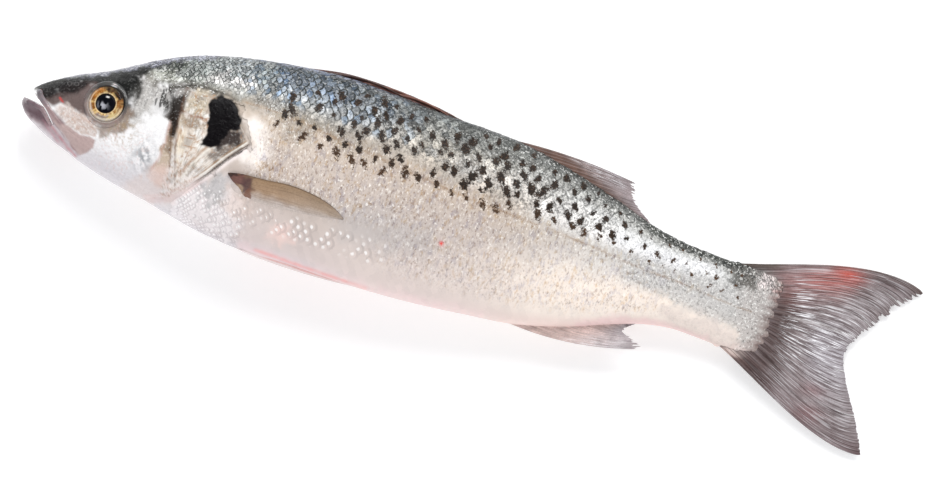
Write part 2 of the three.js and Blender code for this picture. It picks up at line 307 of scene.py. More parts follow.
class Shape:
    """Points, lists of faces, and a value at each point for each named attribute."""

    def __init__(self, points, faces, **values):
        self.points = np.asarray(points, float)
        self.faces = faces
        self.values = values

    @staticmethod
    def joined(shapes):
        """One shape of several that have the same attributes."""
        faces, start = [], 0
        for shape in shapes:
            faces += [block + start for block in shape.faces]
            start += len(shape.points)
        names = shapes[0].values
        values = {name: np.concatenate([shape.values[name] for shape in shapes]) for name in names}
        return Shape(np.concatenate([shape.points for shape in shapes]), faces, **values)


def facing_out(shape):
    """The same shape with its faces turned outwards."""
    volume = 0
    for block in shape.faces:
        for k in range(1, block.shape[1] - 1):
            a, b, c = (shape.points[block[:, n]] for n in (0, k, k + 1))
            volume += np.einsum("ij,ij->", a, np.cross(b, c))
    if volume < 0:
        shape.faces = [block[:, ::-1] for block in shape.faces]
    return shape


def lattice(rows, columns, ring=False):
    """Quads over rows x columns points; ring closes the columns on themselves."""
    i = np.arange(rows - 1)[:, None]
    j = np.arange(columns if ring else columns - 1)[None, :]
    k = (j + 1) % columns
    quads = np.stack([i * columns + j, i * columns + k, (i + 1) * columns + k, (i + 1) * columns + j], -1)
    return quads.reshape(-1, 4)


def capped(rows, columns):
    """Faces over rows of points in rings, and a lid at each end. The lids' two hubs are the last points."""
    around = np.arange(columns)
    after = np.roll(around, -1)
    far = (rows - 1) * columns
    hub = np.full(columns, rows * columns)
    lids = [np.stack([hub, after, around], 1), np.stack([hub + 1, far + around, far + after], 1)]
    return [lattice(rows, columns, ring=True), np.concatenate(lids)]


def slab(along, across, place, values):
    """A closed sheet over the unit square. place(u, v, face) puts the front (1) and back (-1) face,
    and values(u, v) gives what its points carry."""
    u, v = np.meshgrid(np.linspace(0, 1, along + 1), np.linspace(0, 1, across + 1), indexing="ij")
    index = np.arange(u.size).reshape(u.shape)
    rim = np.concatenate([index[:-1, 0], index[-1, :-1], index[:0:-1, -1], index[0, :0:-1]])
    u, v = u.ravel(), v.ravel()
    front = lattice(along + 1, across + 1)
    after = np.roll(rim, -1)
    walls = np.stack([after, after + u.size, rim + u.size, rim], 1)
    points = np.concatenate([place(u, v, 1), place(u, v, -1)])
    both = {name: np.concatenate([value, value]) for name, value in values(u, v).items()}
    return facing_out(Shape(points, [front, front[:, ::-1] + u.size, walls], **both))


def tube(path, radii, sides):
    """A tapered tube along a path of points, closed at both ends."""
    ahead = np.gradient(path, axis=0)
    ahead /= np.linalg.norm(ahead, axis=1)[:, None]
    across = np.cross(ahead, [0.0, 0.0, 1.0])
    across /= np.maximum(np.linalg.norm(across, axis=1), 1e-6)[:, None]
    rise = np.cross(across, ahead)
    turn = (np.arange(sides) * 2 * math.pi / sides)[None, :, None]
    ring = across[:, None] * np.cos(turn) + rise[:, None] * np.sin(turn)
    points = (path[:, None] + ring * radii[:, None, None]).reshape(-1, 3)
    along = np.concatenate([np.repeat(np.linspace(0, 1, len(path)), sides), [0, 1]])
    points = np.concatenate([points, path[:1], path[-1:]])
    return facing_out(Shape(points, capped(len(path), sides), along=along))


def add_piece(name, shape, material, nodes=(), sharp=None):
    """Makes a shape an object that rides on the fish and stands for the named solids."""
    mesh = bpy.data.meshes.new(name)
    mesh.vertices.add(len(shape.points))
    mesh.vertices.foreach_set("co", to_world(shape.points).astype(np.float32).ravel())
    sizes = np.concatenate([np.full(len(block), block.shape[1]) for block in shape.faces])
    corners = np.concatenate([block.ravel() for block in shape.faces])
    mesh.loops.add(len(corners))
    mesh.loops.foreach_set("vertex_index", corners.astype(np.int32))
    mesh.polygons.add(len(sizes))
    starts = np.concatenate([[0], np.cumsum(sizes)[:-1]])
    mesh.polygons.foreach_set("loop_start", starts.astype(np.int32))
    mesh.polygons.foreach_set("use_smooth", np.ones(len(sizes), bool))
    mesh.update(calc_edges=True)
    write_values(mesh, shape.values)
    if sharp is not None:
        ends = np.empty(2 * len(mesh.edges), np.int32)
        mesh.edges.foreach_get("vertices", ends)
        mesh.edges.foreach_set("use_edge_sharp", sharp[ends.reshape(-1, 2)].all(1))
    mesh.materials.append(material)
    piece = add_object(name, mesh)
    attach(piece, "root")
    if nodes:
        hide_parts(*nodes)
    return piece


def add_object(name, data):
    """An object in the scene that shows a mesh, a light or a camera."""
    thing = bpy.data.objects.new(name, data)
    bpy.context.scene.collection.objects.link(thing)
    return thing


def write_values(mesh, values):
    """Writes the named values onto a mesh's points."""
    for name, value in values.items():
        if value.ndim == 2:
            rgba = np.concatenate([value, np.ones((len(value), 1))], 1)
            mesh.attributes.new(name, "FLOAT_COLOR", "POINT").data.foreach_set("color", rgba.ravel())
        else:
            mesh.attributes.new(name, "FLOAT", "POINT").data.foreach_set("value", value.astype(float))


# ---------------------------------------------------------------- colour over the skin

# Runs of colour down the flank: 1 on the back ridge, 0 on the lateral line, -1 on the keel.
# The front and the head runs end on the ridge in lavender grey: a painted reflection along the rim of the
# back.
FRONT_COLOURS = [
    (-1, (212, 206, 210)), (-0.9, (222, 208, 204)), (-0.6, (192, 179, 171)), (-0.3, (200, 187, 177)),
    (-0.07, (200, 186, 172)), (0.03, (152, 143, 130)), (0.25, (150, 148, 143)), (0.5, (136, 143, 150)),
    (0.75, (106, 114, 124)), (0.93, (66, 74, 80)), (1, (104, 108, 124))]
MIDDLE_COLOURS = [
    (-1, (234, 217, 212)), (-0.8, (224, 210, 203)), (-0.5, (199, 187, 180)), (-0.25, (193, 181, 173)),
    (0, (192, 178, 165)), (0.25, (172, 163, 152)), (0.5, (144, 139, 130)), (0.75, (119, 119, 115)),
    (0.92, (102, 104, 101)), (0.98, (60, 63, 61)), (1, (48, 50, 52))]
TAILWARD_COLOURS = [
    (-1, (240, 214, 206)), (-0.85, (244, 231, 220)), (-0.45, (244, 231, 219)), (-0.2, (214, 208, 202)),
    (0, (203, 199, 194)), (0.3, (216, 214, 211)), (0.62, (206, 206, 204)), (0.78, (168, 168, 164)),
    (0.88, (130, 131, 128)), (1, (64, 66, 64))]
HEAD_COLOURS = [
    (-1, (228, 223, 228)), (-0.86, (238, 234, 238)), (-0.66, (255, 254, 255)), (0, (255, 255, 255)),
    (0.5, (240, 239, 240)), (0.72, (204, 203, 204)), (0.85, (140, 146, 130)), (1, (130, 132, 146))]

# Marks on the skin, painted in this order: an outline, how far its edge fades and how ragged it is,
# its colour, how strongly it covers, and how flecked the skin is there, with dark specks and painted glints.
PATCHES = {
    "shoulder glare": ([(85, 18.6), (91, 18.6), (95, 16), (99, 6), (95, 0), (90, 1), (87, 4), (91.6, 8),
        (87, 14)], 3, 1.5, (250, 243, 237), 0.8, 0),
    "under the cover": ([(66, -18), (74, -12), (86, -6), (94, -14), (96, -24), (92, -30), (74, -27),
        (62, -24)], 3, 2, (244, 237, 237), 0.85, 0.06),
    "grey behind the slit": ([(76, -12), (82, -6), (88, -9), (88, -15), (82, -19), (77, -17)], 2, 2.4,
        (172, 170, 170), 0.7, 0.15),
    "peach behind the cover": ([(87, -9), (96, -12), (98, -18), (92, -22), (87, -18)], 2.4, 2,
        (218, 198, 188), 0.6, 0.1),
    "grey flank": ([(128, -6), (142, -1), (156, -3), (168, -3), (170, -12), (156, -17), (134, -16)], 5,
        2, (182, 176, 174), 0.6, 0),
    "peduncle grey": ([(244, 10), (262, 9), (294, 10), (302, 8), (302, -8), (290, -9), (270, -5),
        (246, 0)], 3, 2, (190, 188, 186), 0.75, 0.5),
    "peduncle glare": ([(234, 16.4), (250, 15.4), (272, 13.8), (282, 12.8), (281, 9.8), (262, 9.2),
        (250, 10), (236, 11.6)], 2.8, 1, (234, 234, 237), 0.6, 0.5),
    "peduncle ridge": ([(246, 26), (258, 22), (270, 20), (294, 19), (303, 15), (300, 12.6), (290, 14.6),
        (276, 15.8), (262, 16.8), (250, 20)], 1.6, 0.9, (46, 49, 44), 0.8, 0.6),
    "peduncle low": ([(264, -7), (284, -6), (297, -8), (297, -17), (282, -16), (266, -13)], 3, 1.5,
        (222, 208, 200), 0.7, 0.1),
    "tail root": ([(288, 14), (300, 18), (314, 22), (314, -22), (299, -21), (296, -12), (294, 0)], 3,
        1.5, (192, 186, 182), 0.85, 0.65),
    "tail root's shade": ([(286, 16), (296, 15.6), (297, 10), (292, 7.6), (285, 9)], 1.6, 1.6,
        (58, 56, 50), 0.75, 0.4),
    "tail root's glare": ([(297, 16.4), (304, 16), (304, 11), (299, 10.4)], 1.2, 1.4, (228, 216, 214),
        0.7, 0.1),
    "belly blush": ([(97, -29), (120, -31), (150, -31.6), (196, -30), (196, -34), (97, -36)], 3, 1,
        (238, 208, 208), 0.6, 0),
    "side blush": ([(109, -19), (114, -18), (118, -23), (113, -26.4), (108, -24)], 2.4, 1.5,
        (240, 212, 204), 0.8, 0),
    "vent blush": ([(234, -22), (246, -16), (262, -12.6), (284, -13.6), (284, -17), (256, -20),
        (232, -27)], 1.6, 0.8, (238, 206, 204), 0.7, 0),
    "nape": ([(40, 24), (50, 31), (60, 36), (75, 41), (92, 42), (92, 33), (84, 27), (70, 25.4),
        (58, 23), (50, 22)], 3.5, 2.5, (128, 132, 126), 0.8, 0.4),
    "light above the line": ([(204, 12.6), (236, 10), (238, 17.4), (224, 20), (206, 21)], 3, 0.9,
        (234, 231, 228), 0.72, 0.45),
    "shade above that": ([(208, 24), (226, 22.8), (238, 20.4), (240, 22), (228, 26), (210, 27)], 2.6,
        0.9, (132, 130, 126), 0.4, 0.6),
    "light on the shoulder's end": ([(168, 20), (176, 18.6), (208, 18.6), (208, 23.6), (194, 26),
        (180, 27), (170, 26)], 3, 1.1, (212, 206, 200), 0.5, 0.45),
    "nape's light": ([(67, 33), (70, 38.6), (80, 41), (88, 40), (88, 33), (78, 31)], 2.5, 2.5,
        (172, 176, 182), 0.3, 0.45),
    "collar's shade": ([(87, 23.6), (88, 30), (100, 29.6), (101, 24)], 2.4, 2, (92, 88, 82), 0.6, 0.4),
    "shade over the line": ([(101, 14.4), (101, 20), (114, 20), (114, 15)], 2.4, 1.8, (146, 134, 120),
        0.45, 0.45),
    "nape glare": ([(67, 30), (71, 32), (80, 34), (87, 32), (86, 29.6), (77, 27.4), (68, 27.8)], 2.2,
        2.2, (236, 231, 228), 0.65, 0.5),
    "nape green": ([(46, 28.6), (52, 32), (60, 33.6), (58, 29.6), (51, 27.4)], 1.2, 2, (50, 58, 44),
        0.7, 0.4),
    "nape silver": ([(42, 23.6), (46, 26.6), (54, 27.6), (60, 25.4), (55, 22.8), (47, 22.4)], 1.2, 1.6,
        (190, 192, 180), 0.7, 0.8),
    "cheek's shade": ([(41, 23.6), (50, 22.4), (53, 18), (49.6, 13), (46.4, 7), (43.6, 1), (40, 0),
        (40, 12)], 3.4, 3, (150, 143, 134), 0.6, 0.4),
    "behind the eye": ([(34, 21), (42.8, 22.4), (43.6, 16), (42.4, 11), (42, 6.6), (39, 7), (36, 12)],
        1.8, 1.8, (44, 43, 40), 0.95, 0.12),
    "below the eye": ([(38.6, 10), (42.6, 9), (42.4, 3), (40, -3), (32, -4.4), (25, -3), (23.4, 2),
        (30, -1), (37, 2)], 1.4, 1.6, (150, 132, 118), 0.85, 0.15),
    "crown": ([(3.2, 5.2), (5, 8.6), (9, 12), (15, 15.5), (24, 19.6), (34, 23.8), (42, 28.4),
        (50, 32.6), (56, 33.6), (56, 31), (50, 28.6), (45, 25.6), (42, 22.4), (41, 19), (40.4, 15.4),
        (38.6, 12), (36, 12), (32, 14), (27, 13), (24, 13.4), (20.4, 12.6), (16, 10.4), (11.3, 7),
        (6.4, 4.4)], 1.3, 1.2, (6, 8, 6), 0.96, 0.05),
    # A painted reflection: the lavender sheen along the rim of the crown.
    "crown ridge": ([(12, 13.6), (26, 20.6), (40, 27.6), (56, 35), (70, 39.6), (70, 37.6), (56, 32.4),
        (44, 26.8), (30, 19.9), (16, 13.4)], 0.7, 0.8, (150, 152, 168), 0.62, 0.45),
    "snout side": ([(6, 3.4), (11.3, 7.4), (16, 11), (20.4, 13.4), (26, 15), (28, 10), (26, 4),
        (26.4, 1), (23.4, 1), (18, 2.6), (14.4, 3), (12, 1.4), (7, 1.6)], 1.1, 0.5, (94, 74, 70), 0.95,
        0),
    "snout shade": ([(4, 3.4), (8, 7.6), (13, 11.4), (18, 14), (23, 14.2), (20, 9.4), (14, 6.4),
        (10, 3.6), (6, 2.6)], 1.6, 0.8, (22, 18, 19), 0.95, 0.05),
    "jaw side": ([(0, -4), (8, -2), (14, -5.4), (22, -11), (26, -14.6), (20, -13), (12, -9.6), (4, -6)],
        1.8, 0.8, (176, 150, 156), 0.8, 0),
    "jaw tip": ([(-1, -3.6), (-1, 3), (5, 1), (9, -1.4), (13.6, -5.2), (10.6, -6.6), (5, -5)], 2, 0.6,
        (98, 74, 82), 0.92, 0),
    "lachrymal": ([(14.6, 3.2), (17, 3.4), (20, 2.8), (24, 1.6), (28, 1), (31.4, -1), (31.8, -5.4),
        (29.6, -6.2), (25.4, -6.2), (21.6, -5), (18.4, -3.6), (15.4, -1.4), (13.4, 1)], 1.1, 1,
        (222, 207, 200), 0.95, 0.25),
    "maxilla": ([(6, 2.6), (11, 0.6), (15, -2.4), (18.6, -4.4), (22, -5.3), (25.6, -6.4), (29.8, -6.2),
        (31.8, -6.8), (31.8, -10), (30, -12.6), (27.6, -14.2), (24.6, -12.8), (21, -9.6), (15, -5.2),
        (10, -1.2), (6.4, 1.4)], 0.35, 0.2, (196, 170, 166), 0.95, 0),
    "upper lip": ([(4, 4), (8, 2.4), (14, -1), (18.6, -3.8), (16.6, -5), (11, -2), (6, 1)], 0.7, 0.3,
        (142, 118, 121), 0.75, 0),
    "cheek's corner": ([(49, 22.6), (54, 22.4), (57, 17.6), (58, 12), (54.6, 12), (52.6, 17)], 1.6, 2.6,
        (104, 100, 96), 0.7, 0.5),
    "throat": ([(48, -19), (56, -14.6), (60, -12), (66, -14), (72, -14), (68, -21), (60, -25),
        (48, -23)], 2.4, 1.4, (240, 225, 221), 0.7, 0.1),
    "temple": ([(52.4, 21.4), (54.6, 24.2), (58, 25), (62, 25.4), (68, 26), (75, 25.2), (74, 24),
        (66, 24), (62.8, 22), (62, 16), (61.6, 10), (60.6, 6), (58.4, 6), (56.6, 12), (55.4, 17)], 1,
        1.7, (76, 68, 60), 0.62, 0.7),
    "groove strip": ([(57.8, 10), (60.4, 9), (61.6, 1), (62.8, -6), (62.6, -12), (60, -14), (56.8, -11),
        (57.6, -3)], 0.8, 1, (204, 182, 158), 0.9, 0.2),
    "groove's shade": ([(57.4, 12), (62, 13), (61.8, 4), (60.6, -3), (58.4, 0)], 2, 1.4, (108, 88, 72),
        0.75, 0.25),
    "strip foot": ([(55, -10.4), (62, -9), (66, -12), (66, -16.6), (60, -18), (54.6, -15)], 1.8, 1,
        (234, 208, 198), 0.85, 0.1),
    "cover's low middle": ([(70, -3), (78, -3), (77, -8), (71, -10)], 1.6, 1.2, (246, 244, 243), 0.8,
        0.2),
    "groove's dark": ([(55, 19), (60.8, 20), (62.4, 14), (62.2, 8), (61, 2.6), (59.4, 2.6), (57.4, 9),
        (55.2, 14)], 0.8, 1, (36, 28, 24), 0.95, 0.1),
    "cover": ([(61.4, 12.6), (72, 13), (76, 4), (86, 8), (90, 8), (82, -2), (74, -11), (67, -16),
        (64.6, -8), (62.4, 0)], 0.8, 0.5, (240, 229, 216), 0.92, 0.1),
    "cover's front": ([(61.4, 12), (63, 12.4), (65.4, 4), (67, -6), (67.8, -14), (66, -16), (63.8, -6),
        (62, 2)], 0.8, 0.4, (250, 236, 212), 0.8, 0.1),
    "cover's cream": ([(61.6, 14.2), (62.4, 20), (65, 23.4), (69, 24.2), (70.8, 20), (71, 14),
        (66, 13)], 0.9, 0.9, (208, 195, 174), 0.95, 0.4),
    "cover's upper middle": ([(62, 14), (71, 14.4), (72, 8), (63, 7.6)], 1.4, 1.4, (170, 152, 134),
        0.85, 0.3),
    "cover's foot": ([(64, -7), (74, -7), (71, -15), (66, -17.6)], 1.8, 1.4, (255, 244, 238), 0.85, 0.2),
    "cover's tip": ([(77, 9), (81, 12), (86, 12.4), (89.8, 8.6), (87, 4), (83, -0.6), (79, -4),
        (75.6, 0.6), (77, 5)], 1.5, 1.5, (128, 117, 109), 0.92, 0.2),
    "spot's shade": ([(77.6, 12), (85, 13), (87.4, 10.4), (85.6, 7), (81, 4.6), (77.6, 3), (77, 7)],
        1.5, 1.6, (54, 46, 45), 0.9, 0.1),
}
BLACK_SPOT = [(71, 21.5), (74, 24), (79, 23.6), (82.4, 20.4), (84.6, 16.6), (86, 12.8), (83, 11.4),
    (80.8, 11), (80, 8), (78.4, 4), (75, 2.2), (72.2, 3.2), (73, 8), (72.5, 12), (71.3, 16), (70.3, 19)]
# Thin marks: a line, its width, its colour and how strongly it covers.
STREAKS = {
    # The cheek groove's near-black line is painted shadow in the groove that skin_relief sinks along it.
    "cheek groove": ([(53.6, 21.6), (56.4, 17), (58, 12), (58.8, 7)], 0.5, (30, 22, 16), 0.95),
    "groove's end": ([(58.8, 7), (60.2, 1), (61.8, -5), (62.8, -9)], 0.3, (110, 76, 50), 0.75),
    "cover groove": ([(60.6, 23), (60.8, 13), (61.6, 5), (62.8, -1), (64.6, -8), (66.6, -15)], 0.4,
        (120, 84, 64), 0.7),
    "strip's front": ([(57.8, 8), (58.2, 0), (57.6, -6), (56.2, -11)], 0.5, (190, 140, 122), 0.7),
    "cover crease": ([(61.6, 13.8), (65, 12.8), (68, 13.2), (72, 13)], 0.45, (150, 100, 66), 0.8),
    "cover fold": ([(74.4, 3), (72, -1), (69, -6), (67.4, -11)], 0.6, (180, 140, 108), 0.7),
    "fold's gleam": ([(75.4, 2.6), (73, -1.4), (70.2, -6.4), (68.4, -11)], 0.5, (255, 250, 240), 0.8),
    "black line over the cover": ([(56, 21.6), (62, 24.6), (69, 25), (77, 24.8), (84, 22.6)], 0.4,
        (30, 24, 16), 0.7),
    "gape": ([(9, -0.4), (11, -2.4), (15, -5.4), (21, -10), (27, -14.2)], 0.35, (136, 96, 100), 0.7),
    "jaw vein": ([(13, -6), (18, -9.6), (22, -12.6), (26, -15)], 0.5, (208, 124, 132), 0.65),
    "second jaw vein": ([(10, -5), (15, -9.6), (20, -13)], 0.5, (204, 148, 160), 0.5),
    "lachrymal nick": ([(13.8, 5.2), (15.2, 4)], 0.4, (206, 70, 66), 0.9),
    "drop of blood": ([(173.4, -7.5), (173.6, -7.5)], 0.85, (225, 14, 10), 1.2),
    "pelvic line": ([(104, -30.6), (118, -31.4), (132, -32.2), (150, -32.8)], 0.7, (236, 146, 140), 0.6),
    "lateral line": (
        [(x, float(LATERAL_LINE(float(x)))) for x in range(82, 300, 6)], 0.28, (136, 102, 62), 0.55),
}
# Lines beside the gill slit: how far in front of it, how wide, their colour and strength.
SLIT_LINES = [
    (0, 0.34, (70, 46, 28), 0.95), (-1, 0.4, (255, 250, 240), 0.8), (-1.7, 0.3, (168, 128, 88), 0.6),
    (1.3, 0.9, (250, 240, 238), 0.7)]


def run(height, stops):
    """The colour at a height, between the stops of a run."""
    at = [stop[0] for stop in stops]
    colours = np.array([screen(*stop[1]) for stop in stops])
    return np.stack([np.interp(height, at, colours[:, k]) for k in range(3)], -1)


def height_share(x, y):
    """1 on the back ridge, 0 on the lateral line, -1 on the keel."""
    line = LATERAL_LINE(x)
    above = (y - line) / np.maximum(BACK(x) - line, 0.5)
    below = (y - line) / np.maximum(line - BELLY(x), 0.5)
    return np.clip(np.where(y > line, above, below), -1, 1)


def near(x, y, points, margin):
    """True where (x, y) lies in the points' box, widened by a margin."""
    low, high = np.min(points, 0) - margin, np.max(points, 0) + margin
    return (x > low[0]) & (x < high[0]) & (y > low[1]) & (y < high[1])


def threads(x, y, size, seed, width=0.16):
    """Thin wandering lines: 1 on a line, 0 away from it."""
    return smooth(width, 0, np.abs(noise(x, y, size, seed) + 0.4 * noise(x, y, size / 2.3, seed + 1)))


def cheek_mottle(x, y, tint):
    """Grey streaks, wrinkles and pinkish threads over the white of the cheek."""
    cheek = band(x, 41, 46, 55, 58) * band(y, -18, -12, 19, 21)
    top = band(x, 48, 51, 55.4, 57.6) * band(y, 7, 14, 19, 22)
    low = band(x, 31, 36, 50, 56) * band(y, -19, -15, -2, 6)
    rear = band(x, 33, 38, 42, 50) * band(y, -9, -3, 3, 8)
    snout = smooth(-0.6, 0.8, depth_inside(x, y, PATCHES["lachrymal"][0]))
    streaks = smooth(0, 0.5, noise(x, y * 0.25, 0.9, 15) + 0.6 * noise(x, y * 0.5, 0.5, 26))
    streaks = streaks * smooth(5, 14, y)
    wrinkles = noise(x + 0.5 * y, 0.35 * (y - 0.5 * x), 1, 14) + 0.5 * noise(x, y, 0.6, 27)
    wrinkled = bell((x - 51.8) / 4.4, (y + 7.6) / 6) * smooth(-0.6, 0.4, wrinkles)
    return paint(
        tint,
        ((196, 194, 192), 0.6 * top),
        ((50, 48, 46), 0.9 * np.maximum(0.35 * cheek, top) * streaks),
        ((132, 136, 143), 0.8 * cheek * wrinkled),
        ((226, 186, 176), 0.35 * low * threads(x, y, 1.7, 12)),
        ((196, 156, 132), 0.5 * snout * threads(x, y, 2.2, 51, 0.35)),
        ((255, 252, 250), 0.6 * snout * threads(x, y, 1.5, 53, 0.2)),
        ((176, 152, 118), 0.6 * rear * threads(x, y, 1.6, 28, 0.3)))


def cover_mottle(x, y, tint):
    """Silver and grey clouds over the gill cover, drawn out from its lower corner, and brown threads."""
    outline = [(60, 24), (61, -19), *GILL_RIM[::-1]]
    cover = smooth(61, 63, x) * smooth(-0.6, 0.8, depth_inside(x, y, outline))
    cover = cover * smooth(0.08, 0.35, tint.mean(-1))
    across, away = x - 66, y + 19
    angle, away = np.arctan2(across, away), np.hypot(across, away)
    cloud = 0.6 * noise(angle * 9, away * 0.2, 1, 29) + 0.7 * noise(x, y, 3.4, 30)
    cloud = cloud + 0.6 * noise(x, y, 1.2, 40)
    fine = noise(angle * 60, away * 0.4, 1, 41)
    return paint(
        tint,
        ((255, 253, 248), 0.85 * cover * smooth(0.1, 0.7, cloud)),
        ((166, 158, 150), 0.6 * cover * smooth(-0.2, -0.8, cloud)),
        ((176, 122, 70), 0.7 * cover * threads(x, y, 2.6, 35)),
        ((150, 134, 116), 0.45 * cover * smooth(0.1, 0.8, fine)),
        ((250, 247, 246), 0.45 * cover * smooth(3, -5, y) * smooth(0.5, -0.3, fine)))


def slit_marks(x, y, tint):
    """The gill slit: a brown line near the cover's tip that turns pink and pale down to the throat."""
    for offset, width, colour, strength in SLIT_LINES:
        line = [(px + 0.75 * offset, py - 0.66 * offset) for px, py in SLIT]
        here = near(x, y, line, 3)
        away = line_distance(x[here], y[here], line)
        shade = paint((236, 190, 184), (colour, smooth(-15, -7, y[here])))
        faded = mix(0.35, 1, smooth(-16, -4, y[here]))
        tint[here] = paint(tint[here], (shade, strength * faded * bell(away / width)))
    return tint


def looks(x, y):
    """What every piece of skin carries at (x, y): its tint, its flecks and its spots."""
    height = height_share(x, y)
    height = np.clip(height + 0.05 * noise(x, y, 9, 1) * (1 - height**2), -1, 1)
    rearward = smooth(112, 158, x + 6 * noise(x, y, 20, 16))
    tailward = smooth(183, 242, x + 8 * noise(x, y, 25, 2) + 16 * smooth(-0.1, -0.5, height))
    headward = 1 - smooth(58, 74, x + 0.25 * y)
    tint = paint(run(height, FRONT_COLOURS), (run(height, MIDDLE_COLOURS), rearward),
                 (run(height, TAILWARD_COLOURS), tailward), (run(height, HEAD_COLOURS), headward))
    fleck = 0.25 * smooth(0.1, 0.5, height)
    fleck += 0.3 * smooth(0.45, 0.75, height) * band(x, 165, 200, 262, 280)
    ragged = noise(x, y, 2.4, 3) + 0.6 * noise(x, y, 1, 10)
    for outline, fade, grain, colour, strength, flecks in PATCHES.values():
        here = near(x, y, outline, 2 * fade + grain)
        cover = smooth(-fade, fade, depth_inside(x[here], y[here], outline) + grain * ragged[here])
        tint[here] = paint(tint[here], (colour, strength * cover))
        fleck[here] = mix(fleck[here], flecks, cover)
    tint = slit_marks(x, y, cover_mottle(x, y, cheek_mottle(x, y, tint)))
    for line, width, colour, strength in STREAKS.values():
        here = near(x, y, line, 3 * width)
        away = line_distance(x[here] + 0.25 * ragged[here], y[here], line)
        broken = np.clip(0.9 + 0.6 * noise(x[here], y[here], 1.7, 17), 0.2, 1)
        tint[here] = paint(tint[here], (colour, strength * broken * bell(away / width)))
    here = near(x, y, BLACK_SPOT, 2)
    black = smooth(-0.5, 0.5, depth_inside(x[here], y[here], BLACK_SPOT) + 0.5 * ragged[here])
    tint[here] = paint(tint[here], ((10, 7, 10), black))
    fleck[here] = mix(fleck[here], 0, black)
    beyond = past_the_scales(x, y)
    roots = paint((106, 84, 80), ((150, 116, 112), smooth(5, 12, y)))
    spot, ink = SPOTS.field(x, y)
    tint = paint(tint, (roots, 0.95 * beyond))
    return {"tint": tint, "fleck": fleck * (1 - beyond), "spot": spot, "ink": ink}


def past_the_scales(x, y):
    """1 over the tail's roots, 0 over the trunk. Between them the scales run out in points."""
    edge = np.interp(y, [-19, -15, -10, 0, 5, 15], [297, 301.6, 304.8, 305.6, 306.2, 307])
    points = 2.6 * np.abs((y / 1.9) % 2 - 1) + 1.6 * noise(y, x / 4, 1.1, 76)
    return smooth(-5.4, 4.6, x - edge + points)


class Spots:
    """The dark spots of back and flank: wavering rows that follow the lateral line."""

    ROWS = np.arange(-4.8, 30, 4.3)
    STEP = 6.5
    FIRST, LAST = 97, 294
    WIDEST, TALLEST = 4.5, 6
    LOWEST = staticmethod(profile((95, 17.6), (120, 14), (150, 12.6), (160, 11), (200, 11.4), (225, 10.8),
                                  (240, 9.4), (260, 7.2), (275, 5.8), (292, 4.6)))

    def __init__(self):
        draw = np.random.default_rng(41)
        self.spots = []
        for k, rise in enumerate(self.ROWS):
            for x in np.arange(self.FIRST + self.STEP / 2 * (k % 2), self.LAST, self.STEP):
                across, along, width, tall, lean, luck = draw.uniform(-1, 1, 6)
                x += 1.3 * across
                y = LATERAL_LINE(x) + rise + 0.8 * along
                low, high = self.LOWEST(x), BACK(x) - 1.8
                crowd = mix(0.3, 0.86, smooth(96, 150, x))
                if luck < crowd and low < y < high - 9 * (1 - smooth(96, 122, x)):
                    above = smooth(0, 6, y - low)
                    size = 1.38 + 0.4 * width + 0.14 * smooth(150, 175, x)
                    size *= (1 - 0.5 * smooth(200, 284, x)) * (0.8 + 0.2 * smooth(0, 5, high - y))
                    ink = (0.45 + 0.55 * above) * (1 - 0.45 * smooth(236, 280, x))
                    stretch = 1.3 + 0.3 * tall + 0.2 * (1 - above)
                    self.spots.append((x, y, size, stretch, 0.4 * lean - 0.1, ink))

    def field(self, x, y):
        """1 at a spot's centre, 0 on its edge and less outside, and how dark the nearest spot is."""
        inside = np.full(np.shape(x), -1.0)
        ink = np.ones(np.shape(x))
        for cx, cy, size, tall, lean, darkness in self.spots:
            here = (np.abs(x - cx) < self.WIDEST) & (np.abs(y - cy) < self.TALLEST)
            dx, dy = x[here] - cx, y[here] - cy
            depth = 1 - np.hypot((dx - lean * dy) / size, dy / (size * tall))
            nearer = depth > inside[here]
            inside[here] = np.where(nearer, depth, inside[here])
            ink[here] = np.where(nearer, darkness, ink[here])
        return inside, ink


SPOTS = Spots()

# ---------------------------------------------------------------- materials

WHITE = (255, 255, 255)
# The flank's upright flecks: their size, how drawn out they are, where they begin and end, their shade.
FLANK_FLECKS = [
    (1, 0.5, 0.54, 0.66, (206, 198, 195)), (1.7, 0.45, 0.52, 0.68, (236, 222, 201)),
    (2.1, 0.5, 0.5, 0.66, (224, 224, 233)), (0.8, 0.6, 0.54, 0.68, (206, 195, 187))]


